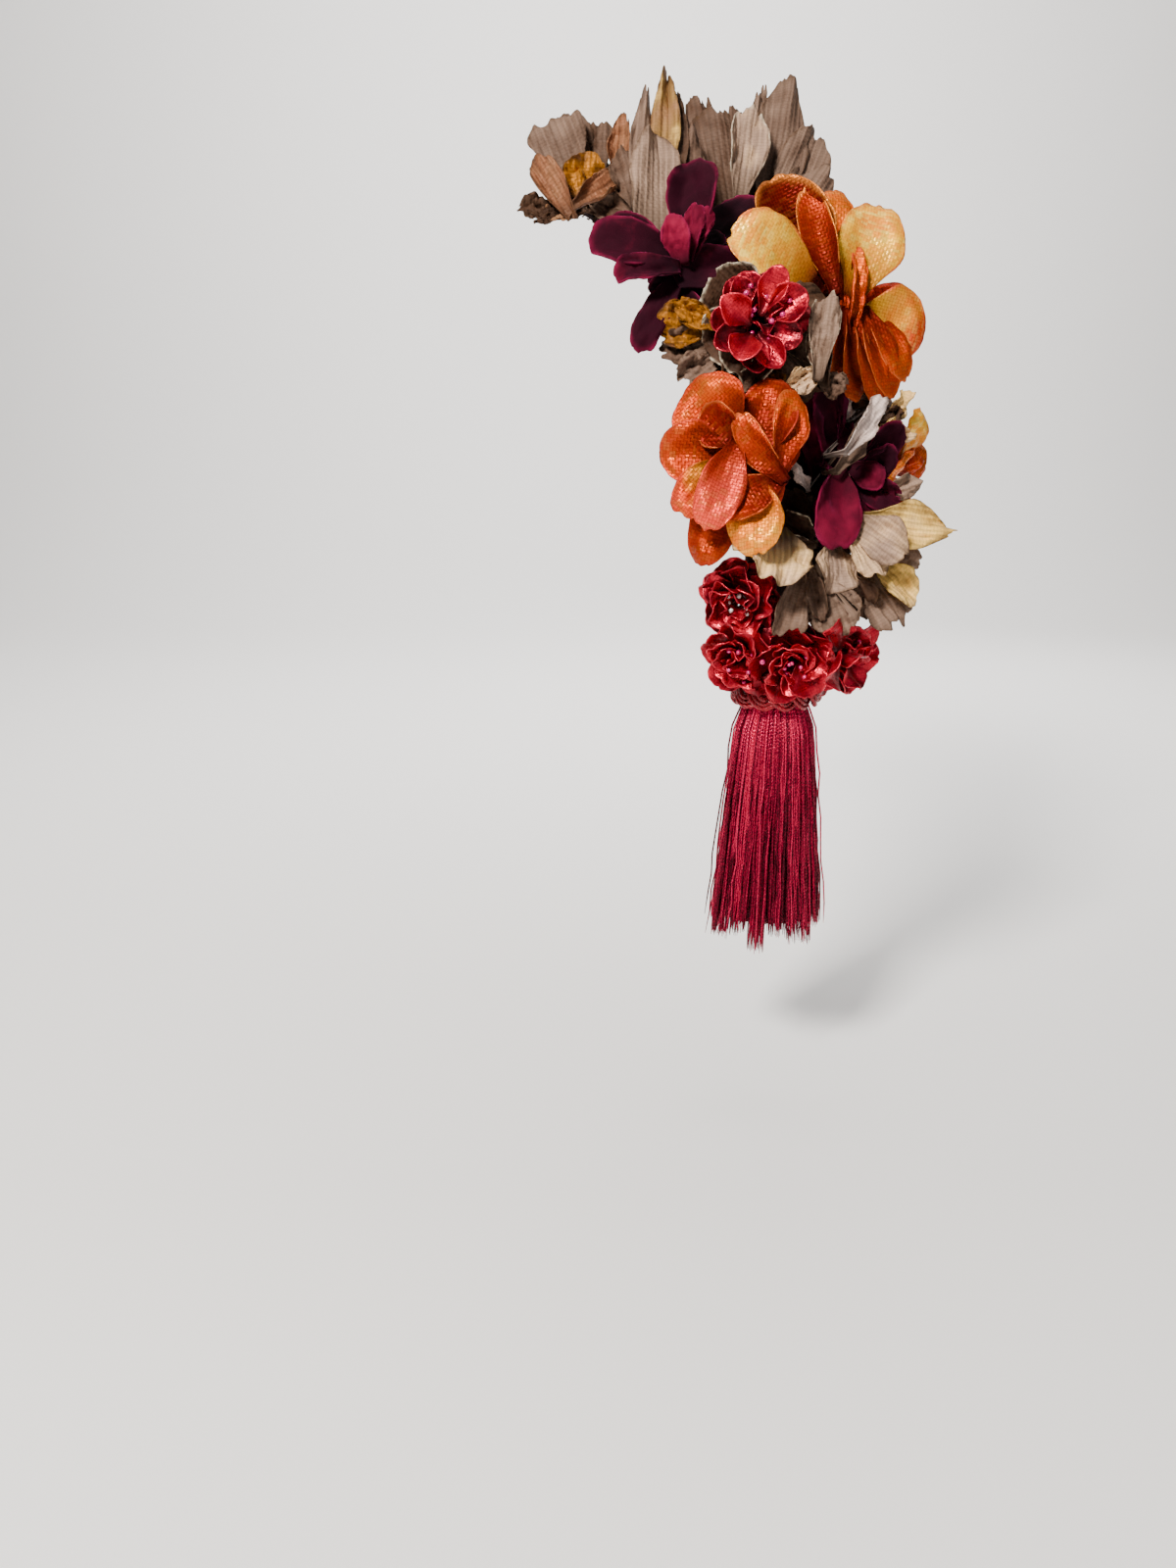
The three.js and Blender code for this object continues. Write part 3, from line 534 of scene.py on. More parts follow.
# A grid is laid from -1 to 1 both ways, and each of its points is moved to where place says, in millimetres.
def bendGrid(bm, across, along, place):
    uvLayer = bm.loops.layers.uv["cloth"]
    grid = bmesh.ops.create_grid(bm, x_segments=across, y_segments=along, size=1)
    flat = {}
    faces = set()
    for vert in grid["verts"]:
        spot = place(vert.co.x, vert.co.y)
        vert.co = spot["point"] * mm
        flat[vert] = spot["uv"]
        for name, value in spot.get("marks", {}).items():
            vert[bm.verts.layers.float[name]] = value
        faces.update(vert.link_faces)
    for face in faces:
        for loop in face.loops:
            loop[uvLayer].uv = flat[loop.vert]


# A tube along a path, from a grid whose sides meet. The section leans the way that up gives.
def addTube(bm, path, radius, sides, steps, up, tone=0.5, closed=False, start=0):
    span = 0.5 / steps
    length = sum((path((i + 1) / steps) - path(i / steps)).length for i in range(steps))

    def place(a, b):
        share = (b + 1) / 2
        before = path(share - span) if closed else path(max(0, share - span))
        after = path(share + span) if closed else path(min(1, share + span))
        way = (after - before).normalized()
        lean = up(share) if callable(up) else up
        side = way.cross(lean).normalized()
        rise = side.cross(way)
        size = radius(share) if callable(radius) else radius
        wide, high = size if isinstance(size, tuple) else (size, size)
        turn = math.pi * a
        point = path(share) + side * (wide * math.cos(turn)) + rise * (high * math.sin(turn))
        marks = {"petalTone": tone, "petalShare": share}
        return {"point": point, "uv": (a, start + share * length), "marks": marks}

    bendGrid(bm, sides, steps, place)


def closeSeams(bm):
    bmesh.ops.remove_doubles(bm, verts=bm.verts, dist=0.01 * mm)
    bmesh.ops.dissolve_degenerate(bm, edges=bm.edges, dist=0.005 * mm)
    bmesh.ops.recalc_face_normals(bm, faces=bm.faces)


def addPiece(name, bm, materialNames, node):
    mesh = bpy.data.meshes.new(name)
    bm.to_mesh(mesh)
    bm.free()
    for materialName in materialNames:
        mesh.materials.append(materials[materialName])
    mesh.shade_smooth()
    piece = bpy.data.objects.new(name, mesh)
    scene.collection.objects.link(piece)
    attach(piece, "root")
    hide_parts(node)
    return piece


def addSolidify(piece, thickness):
    wall = piece.modifiers.new("wall", "SOLIDIFY")
    wall.thickness = thickness * mm
    wall.offset = 0
    wall.use_quality_normals = True


# Seat: the rounded form that the band is moulded to, in millimetres and degrees
seat = {"radii": (110, 84, 119), "along": 20, "across": 36, "felt": 2, "clear": 1.4, "padLift": 2.3}


def seatWay(along, across):
    sideways = math.cos(math.radians(across))
    turn = math.radians(along)
    return Vector((sideways * math.cos(turn), -math.sin(math.radians(across)), sideways * math.sin(turn)))


def seatPoint(along, across, lift):
    way = seatWay(along, across)
    grown = [way[i] * (seat["radii"][i] + lift) for i in range(3)]
    middle = seatWay(seat["along"], seat["across"])
    return Vector([grown[i] - middle[i] * seat["radii"][i] for i in range(3)])


def seatNormal(along, across):
    way = seatWay(along, across)
    return Vector([way[i] / seat["radii"][i] for i in range(3)]).normalized()


def offSeat(point, lift):
    middle = seatWay(seat["along"], seat["across"])
    centre = Vector([-middle[i] * seat["radii"][i] for i in range(3)])
    way = point - centre
    level = Vector([way[i] / (seat["radii"][i] + lift) for i in range(3)]).length
    return centre + way / level if level < 1 else point


# Felt band, with an overcast stitch along its edge
feltBand = {
    "stations": [(93, 4, 7), (78, 15, 11), (56, 28, 16), (32, 39, 17.5), (4, 41, 15), (-23, 45, 9.5)],
    "steps": (16, 72),
    "rounding": 0.45,
    "softEdge": 0.7,
    "stitches": 118,
    "stitchRadius": 0.28,
    "stitchInset": 0.86,
    "endInset": 0.97,
    "stitchLift": 0.25,
    "stitchOut": 0.3,
    "stitchLean": (30, 36),
    "stitchTone": 0.7,
}


def bandStation(share):
    stations = feltBand["stations"]
    place = min(0.99999, max(0, share)) * (len(stations) - 1)
    i = int(place)
    t = place - i
    last = len(stations) - 1
    p = [Vector(stations[min(last, max(0, k))]) for k in (i - 1, i, i + 1, i + 2)]
    if i == 0:
        p[0] = p[1] * 2 - p[2]
    if i == last - 1:
        p[3] = p[2] * 2 - p[1]
    bent = p[1] * 2 + (p[2] - p[0]) * t + (p[0] * 2 - p[1] * 5 + p[2] * 4 - p[3]) * t * t
    return (bent + (p[1] * 3 - p[0] - p[2] * 3 + p[3]) * t * t * t) / 2


def bandPoint(a, b, lift):
    end = b * math.sqrt(1 - feltBand["rounding"] * a * a * b ** 4)
    along, across, halfWidth = bandStation((1 - end) / 2)
    return seatPoint(along, across - a * halfWidth, lift)


def makeFeltBase():
    bm = startMesh()
    bendGrid(bm, *feltBand["steps"],
             lambda a, b: {"point": bandPoint(a, b, seat["felt"] / 2), "uv": (a * 16, b * 90)})
    band = addPiece("felt_band", bm, ["felt"], "felt_base")
    addSolidify(band, seat["felt"])
    bevel = band.modifiers.new("soft_edge", "BEVEL")
    bevel.width = feltBand["softEdge"] * mm
    bevel.segments = 2
    bevel.limit_method = "ANGLE"
    stitches = startMesh()
    lean = seatNormal(*feltBand["stitchLean"]).cross(Vector((0, 0, 1)))
    off = feltBand["stitchLift"]
    for i in range(feltBand["stitches"]):
        turn = 4 * i / feltBand["stitches"]
        side = int(turn)
        step = (turn - side) * 2 - 1
        a, b = [(step, 1), (1, -step), (-step, -1), (-1, step)][side]
        inner = feltBand["stitchInset"] if side % 2 else feltBand["endInset"]

        def path(share, a=a, b=b, inner=inner):
            reach = mixed(inner, 1.0, abs(math.sin(math.pi * share)) ** 0.6)
            lift = mixed(seat["felt"] + off, -off, smooth(share * 1.6 - 0.3))
            out = (bandPoint(a, b, lift) - bandPoint(a * 0.9, b * 0.9, lift)).normalized()
            bow = out * feltBand["stitchOut"] * math.sin(math.pi * share)
            return bandPoint(a * reach, b * reach, lift) + bow

        addTube(stitches, path, feltBand["stitchRadius"], 4, 5, lean, feltBand["stitchTone"])
    closeSeams(stitches)
    addPiece("felt_stitches", stitches, ["stem"], "felt_base")


# Comb, in the hollow under the band
combShape = {"along": 62, "across": 23.5, "halfWidth": 10, "barDepth": 5, "barHalf": 5.2, "toothReach": 15,
             "teeth": 5, "toothWide": (1.9, 1.0), "toothThick": (0.75, 0.55), "thickness": 1.6, "gap": 0.5,
             "lap": 1, "thinEnd": 0.0004}


def makeComb():
    bm = startMesh()
    lift = -combShape["gap"] - combShape["thickness"] / 2
    normal = seatNormal(combShape["along"], combShape["across"])

    def bar(share):
        across = combShape["across"] + (share * 2 - 1) * combShape["halfWidth"]
        return seatPoint(combShape["along"], across, lift)

    def barSize(share):
        end = math.sqrt(max(combShape["thinEnd"], 1 - abs(share * 2 - 1) ** 10))
        return (combShape["barHalf"] * end, combShape["thickness"] / 2 * end)

    addTube(bm, bar, barSize, 12, 28, normal)
    pitch = 2 * combShape["halfWidth"] / combShape["teeth"]
    barEnd = combShape["along"] - combShape["barDepth"] / 2 + combShape["lap"]
    for i in range(combShape["teeth"]):
        middle = combShape["across"] - combShape["halfWidth"] + pitch * (i + 0.5)

        def tooth(share, middle=middle):
            return seatPoint(barEnd - share * combShape["toothReach"], middle, lift)

        def toothSize(share):
            end = math.sqrt(max(combShape["thinEnd"], 1 - share ** 8))
            return (mixed(*combShape["toothWide"], share) * end, mixed(*combShape["toothThick"], share) * end)

        addTube(bm, tooth, toothSize, 10, 20, normal)
    closeSeams(bm)
    addPiece("comb_shell", bm, ["comb"], "hair_comb")


# Tassel: kinked threads in locks, hung on a bound top
tasselShape = {
    "seed": 7, "x": -9.2, "y": -22.6, "top": -64, "neck": -84, "bottom": -173,
    "neckHalf": (10.6, 8.6), "hemHalf": (20.5, 15), "shoulder": 0.24, "shoulderShare": 0.125,
    "locks": 17, "hemRise": 11, "hemPace": 2.4, "hemSpread": (0.5, 1.1), "hemStray": 1.6, "foot": (-20, 46),
    "layers": [(380, 0.9, 1.0), (260, 0.76, 0.92), (110, 0.5, 0.76), (16, 1.0, 1.12)],
    "threadRadius": 0.34, "steps": 10, "pull": (0.05, 0.4), "kink": 0.5, "kinkSpread": (0.6, 1.5),
    # the inner layers' threads are darkened: painted shade inside the tassel
    "toneSpread": (0.2, 1.0), "outerFrom": 0.8, "innerShade": 0.6,
    # the skirt of the close middle is nearly black: painted shade between the threads
    "skirtSteps": (144, 14), "skirtShadeTone": 0.05, "topSteps": (120, 12), "topTone": 0.45,
}


def tasselHalf(share):
    rise = smooth(share / tasselShape["shoulderShare"])
    spread = tasselShape["shoulder"] * rise + (1 - tasselShape["shoulder"]) * share
    return [mixed(a, b, spread) for a, b in zip(tasselShape["neckHalf"], tasselShape["hemHalf"])]


def tasselPoint(turn, share, q, z):
    wide, deep = tasselHalf(share)
    x = tasselShape["x"] + wide * q * math.cos(turn)
    y = tasselShape["y"] + deep * q * math.sin(turn)
    return Vector((x, y, z))


def makeTassel():
    dice = random.Random(tasselShape["seed"])
    noise.seed_set(tasselShape["seed"])
    bm = startMesh()
    neck, bottom = tasselShape["neck"], tasselShape["bottom"]
    for count, inner, outer in tasselShape["layers"]:
        for i in range(count):
            start = 2 * math.pi * (i + dice.random() * 0.8) / count
            lock = round(start / (2 * math.pi) * tasselShape["locks"])
            lockTurn = 2 * math.pi * lock / tasselShape["locks"]
            wave = math.sin(tasselShape["hemPace"] * (lock % tasselShape["locks"]) + 1)
            lockRise = tasselShape["hemRise"] * (0.5 + 0.5 * wave)
            spread = dice.uniform(*tasselShape["hemSpread"])
            rise = lockRise * spread + abs(dice.gauss(0, tasselShape["hemStray"]))
            q = dice.uniform(inner, outer)
            pull = dice.uniform(*tasselShape["pull"])
            seed = dice.uniform(0, 500)
            kink = tasselShape["kink"] * dice.uniform(*tasselShape["kinkSpread"])
            # inner layers darker: painted shade inside the tassel
            shade = 1 if inner > tasselShape["outerFrom"] else tasselShape["innerShade"]
            tone = dice.uniform(*tasselShape["toneSpread"]) * shade

            def path(share, start=start, lockTurn=lockTurn, rise=rise, q=q, pull=pull, seed=seed, kink=kink):
                turn = mixed(start, lockTurn, pull * smooth(share))
                z = mixed(neck + 1.5, bottom + rise, share)
                point = tasselPoint(turn, share, q, z)
                sway = noise.noise_vector(Vector((seed, share * 7, 0))) * kink * 2 * smooth(share * 3)
                point += Vector((sway.x, sway.y * 0.8, sway.z * 0.4))
                return point

            def thin(share):
                return tasselShape["threadRadius"] * mixed(1, 0.75, share) * (1 if share < 0.97 else 0.35)

            outward = Vector((math.cos(start), math.sin(start), 0))
            addTube(bm, path, thin, 4, tasselShape["steps"], outward, tone, start=seed)
    closeSeams(bm)
    addPiece("tassel_threads", bm, ["thread"], "tassel")

    # The close middle of the tassel, nearly black as painted shade, its bound top and the hanger to the band
    core = startMesh()

    def skirt(a, b):
        share = (1 - b) / 2
        turn = math.pi * a
        flute = 0.8 + 0.05 * math.sin(36 * turn)
        z = mixed(neck + 3, bottom + 10, share)
        point = tasselPoint(turn, share, flute * mixed(1, 0.92, share), z)
        return {"point": point, "uv": (a * 30, share * 90),
                "marks": {"petalTone": tasselShape["skirtShadeTone"]}}

    def boundTop(a, b):
        lean = math.pi / 2 * (b + 1) / 2
        turn = math.pi * a
        wide, deep = tasselShape["neckHalf"]
        flute = 1 + 0.03 * math.sin(30 * turn)
        side = math.cos(lean) * flute
        z = neck + (tasselShape["top"] - neck) * math.sin(lean)
        x = tasselShape["x"] + wide * side * math.cos(turn)
        y = tasselShape["y"] + deep * side * math.sin(turn)
        return {"point": Vector((x, y, z)), "uv": (a * 30, b * 20),
                "marks": {"petalTone": tasselShape["topTone"]}}

    bendGrid(core, *tasselShape["skirtSteps"], skirt)
    bendGrid(core, *tasselShape["topSteps"], boundTop)
    closeSeams(core)
    bmesh.ops.holes_fill(core, edges=core.edges, sides=0)
    core.normal_update()
    addPiece("tassel_core", core, ["thread"], "tassel")
    hangTop = Vector((tasselShape["x"], tasselShape["y"], (tasselShape["top"] + neck) / 2))
    makeStem("tassel_hanger", tasselShape["foot"], hangTop, "tassel")


# Stem: a sewing pad on the band and a taped wire that rises from it
stemShape = {"padRadius": 3.4, "padHeight": 1.5, "radius": 1.55, "wraps": 7, "bow": 2.0}


def makeStem(name, foot, top, node):
    bm = startMesh()
    normal = seatNormal(*foot)
    base = seatPoint(*foot, seat["padLift"])
    lean = normal.orthogonal().normalized()

    def pad(share):
        return base + normal * (stemShape["padHeight"] * share)

    def padSize(share):
        return max(0.02, stemShape["padRadius"] * math.sqrt(max(0, 1 - abs(share * 2 - 1) ** 4)))

    def wire(share):
        lift = base + normal * (stemShape["padHeight"] * 0.5)
        bow = normal * (stemShape["bow"] * math.sin(math.pi * share))
        return lift.lerp(top, share) + bow

    def wireSize(share):
        wrap = (share * stemShape["wraps"]) % 1
        return stemShape["radius"] * (0.92 + 0.12 * wrap) * mixed(1.15, 0.85, share)

    addTube(bm, pad, padSize, 14, 6, lean)
    addTube(bm, wire, wireSize, 10, 42, lean)
    closeSeams(bm)
    bmesh.ops.holes_fill(bm, edges=bm.edges, sides=0)
    addPiece(name, bm, ["stem"], node)


# Collar: a plait of three strands round the neck, each strand of three satin cords side by side
collarShape = {"middle": -75, "rise": 5.2, "depth": 1.35, "strands": 3, "plies": 3, "bights": 4, "cord": 0.86,
               "spread": 1.56, "off": 3.3, "steps": 132}


def makeCollar():
    bm = startMesh()
    wide, deep = [half + collarShape["off"] for half in tasselShape["neckHalf"]]

    def outward(share):
        turn = 2 * math.pi * share
        return Vector((math.cos(turn) / wide, math.sin(turn) / deep, 0)).normalized()

    for strand in range(collarShape["strands"]):
        def middle(share, strand=strand):
            turn = 2 * math.pi * share
            sway = collarShape["bights"] * turn + 2 * math.pi * strand / collarShape["strands"]
            x = tasselShape["x"] + wide * math.cos(turn)
            y = tasselShape["y"] + deep * math.sin(turn)
            z = collarShape["middle"] + collarShape["rise"] * math.sin(sway)
            return Vector((x, y, z)) + outward(share) * (collarShape["depth"] * math.sin(2 * sway))

        for ply in range(collarShape["plies"]):
            def path(share, middle=middle, ply=ply):
                way = (middle(share + 0.002) - middle(share - 0.002)).normalized()
                side = way.cross(outward(share)).normalized()
                return middle(share) + side * collarShape["spread"] * (ply - (collarShape["plies"] - 1) / 2)

            tone = 0.55 + 0.12 * (ply - 1)
            addTube(bm, path, collarShape["cord"], 7, collarShape["steps"], outward, tone, closed=True)
    closeSeams(bm)
    addPiece("collar_cords", bm, ["cord"], "tassel_collar")


# Flowers: the cut of each cloth, in millimetres and shares of the petal
petalRoot = 1.5
clawShare = 0.2
clawFrom = 4
pressGap = 0.6
petalStray = {"turn": (-9, 9), "rise": (-7, 7), "length": (-0.09, 0.06), "tone": (-0.12, 0.12),
              "seed": (0, 300), "single": 0.15}
bladeShape = {"tearFrom": 0.1, "tearPower": 6, "frayPace": 8, "frayShare": 0.3, "clawWidth": 0.6,
              "pointDepth": 0.75, "pointFrom": 0.4, "pointSpan": 0.6, "rimFrom": 0.4, "rimSpan": 0.6,
              "stretch": 1.5, "creaseRise": 0.35, "creaseFall": 1.8, "creaseShare": 1.5, "finePace": 3,
              "fineShare": 0.6, "rollFrom": 0.72, "rollSpan": 0.28}
calyxShape = {"radius": 2.8, "flat": 0.8, "rough": 0.14, "pace": 900, "drop": -2.8, "stemTop": -2}
petalColumns = ("count", "turn", "rise", "length", "width", "curl", "cup", "tilt", "point", "tone",
                "right", "up", "out", "own")
# The taupe, burgundy and orange rings are back petals whose dark tones partly paint the shade in the gaps
# between flowers
petalCuts = {
    "taupe": {
        "ruffle": 2.0, "waves": 1.2, "rimWave": 1.2, "rimTurns": 5, "crinkle": 1.1, "pace": 1.9,
        "sharp": 0.45, "ragged": 0.14, "tearPace": 3.6, "roll": 0.9, "pleat": 0.14, "pleats": 4, "wall": 0.35,
        "grid": (24, 32), "slot": "taupe_silk", "waist": 0.35, "full": 0.65, "edge": 0.2,
        "rings": [(5, 10, -12, 16, 16, -10, 25, 10, 0.1, 0.1, 0, 0, -2)]},
    "burgundy": {
        "ruffle": 1.0, "waves": 1.3, "rimWave": 1.0, "rimTurns": 3, "crinkle": 1.3, "pace": 1.8,
        "sharp": 0.3, "ragged": 0.05, "tearPace": 3, "roll": 1.4, "pleat": 0.4, "pleats": 2, "wall": 0.6,
        "grid": (18, 26), "slot": "burgundy_velvet", "waist": 0.5, "full": 0.6, "edge": 0.5,
        "rings": [(5, 40, -14, 17, 14, -10, 25, 10, 0, 0.1, 0, 0, -2)]},
    "orange": {
        "ruffle": 1.1, "waves": 1.2, "rimWave": 1.1, "rimTurns": 3, "crinkle": 1.0, "pace": 1.5,
        "sharp": 0.3, "ragged": 0.05, "tearPace": 3, "roll": 2.4, "pleat": 0.4, "pleats": 2.3, "wall": 0.35,
        "grid": (22, 30), "slot": "orange_satin", "waist": 0.35, "full": 0.55, "edge": 0.1,
        "rings": [(5, 20, -12, 18, 18, -10, 20, 10, 0, 0.15, 0, 0, -2)]},
    "red": {
        "ruffle": 0.9, "waves": 1.4, "rimWave": 1.0, "rimTurns": 4, "crinkle": 0.55, "pace": 1.6,
        "sharp": 0.25, "ragged": 0.06, "tearPace": 4, "roll": 0.5, "pleat": 0.25, "pleats": 2, "wall": 0.35,
        "grid": (18, 20), "slot": "red_satin", "waist": 0.2, "full": 0.6, "edge": 0.5,
        "rings": [(4, 15, 64, 9, 9, 10, 60, 15, 0, 0.45, 0, 0, 0),
                  (5, 0, -4, 13, 13, 5, 25, 10, 0, 0.25, 0, 0, 0)]},
}

# Each flower from front to back: cloth, hub (along, across, lift), facing (yaw, pitch) and foot on the band
flowerPlaces = {
    "red_flower_top": ("red", (48.8, 43.4, 24), (-10, 5), None),
    "taupe_flower_mid": ("taupe", (23.6, 24.5, 22), (40, 10), (24, 26)),
    "burgundy_flower_mid": ("burgundy", (16, 33.5, 13), (20, 0), (16, 34)),
    "orange_flower_left": ("orange", (34.5, 59.7, 16), (-15, 0), (33, 53.5)),
    "orange_flower_top": ("orange", (45.1, 18.5, 21), (8, 15), (45, 21)),
    "orange_flower_right": ("orange", (38.6, 18.6, 22), (30, -5), (36, 23.5)),
    "taupe_flower_cup": ("taupe", (47.9, 41.1, 15), (-10, 5), (48, 41)),
    "burgundy_flower_top": ("burgundy", (67.9, 38.4, 15), (-20, 20), (67, 32)),
    "taupe_flower_low_right": ("taupe", (6.5, 39, 14.5), (25, -15), (6, 37)),
    "taupe_flower_low_left": ("taupe", (2.9, 47.7, 13), (-3, -15), (1, 50)),
    "red_flower_bottom_mid": ("red", (-20.4, 51.7, 22), (5, -15), (-13, 43.5)),
    "red_flower_low": ("red", (-9.9, 60, 11), (-25, -10), (-6, 51.5)),
    "red_flower_bottom_right": ("red", (-15.8, 40.3, 18), (35, -15), (-11, 34)),
    "red_flower_bottom_left": ("red", (-24.2, 57.4, 17), (-25, -15), (-16.5, 52.5)),
    "taupe_flower_left": ("taupe", (87.4, 15.5, 9), (-15, 25), (87, 9)),
    "taupe_flower_top": ("taupe", (74.9, 27.2, 10), (0, 15), (76, 21)),
    "taupe_flower_right": ("taupe", (60.7, 8, 16), (10, 20), (61, 15)),
    "orange_flower_back": ("orange", (11, 13.1, 18), (65, -5), (9.5, 28.5)),
}

# Cuts of single petals that differ from the rest of their cloth. A free one isn't pressed behind others.
softFold = {"pleat": 0.12, "ragged": 0.08, "crinkle": 1.2, "pace": 1.7}
broadSoft = {"pleat": 0.1, "ragged": 0.12, "crinkle": 0.7, "pace": 1.5, "sharp": 0.3}
spoon = {"crinkle": 0.3, "ruffle": 0.4, "rimWave": 0.35, "pleat": 0.08, "ragged": 0.02, "roll": 0.2}
plain = {"crinkle": 0.5, "ruffle": 0.6, "rimWave": 0.5, "pleat": 0.1, "edge": 0.4}
archFold = {"crinkle": 0.35, "ruffle": 0.4, "rimWave": 0.3, "pleat": 0.05, "roll": 0.6, "edge": 0.8}
crumpled = {"crinkle": 2.1, "pace": 3.2, "ragged": 0.3}
torn = {"ragged": 0.22, "tearPace": 4.2}
fanned = {"full": 1, "ragged": 0.22}
pleated = {"pleat": 0.5, "pleats": 5, "ragged": 0.3}
wavyHem = {"pleat": 0.05, "ragged": 0.08, "waist": 0.85, "rimWave": 2.0, "rimTurns": 8}
squareFoot = {"waist": 0.8, "pleat": 0.12, "pleats": 4, "ragged": 0.04, "crinkle": 0.6, "sharp": 0.2,
              "free": True}
pearlLeaf = {"pleat": 0.05, "ragged": 0.08, "crinkle": 1.1, "pace": 1.8, "sharp": 0.3, "rimWave": 0.8,
             "roll": 1.2, "free": True}
softGold = {"pleat": 0.06, "ragged": 0.1, "edge": 0.7}
paleEdge = {"edge": 1}
ribbed = {"pleat": 0.1, "pleats": 9}
smoky = {"crinkle": 1.8, "pace": 2.6, "sharp": 0.8, "ragged": 0.12, "edge": 0.5, "pleat": 0.02,
         "rimWave": 1.8, "free": True}
creamEdge = {"edge": 1, "pleat": 0.1, "ragged": 0.12}
creamArc = {"edge": 0.8, "pleat": 0.05, "ragged": 0.1, "crinkle": 1.3, "pace": 2.6, "rimWave": 1.5,
            "rimTurns": 6, "free": True}

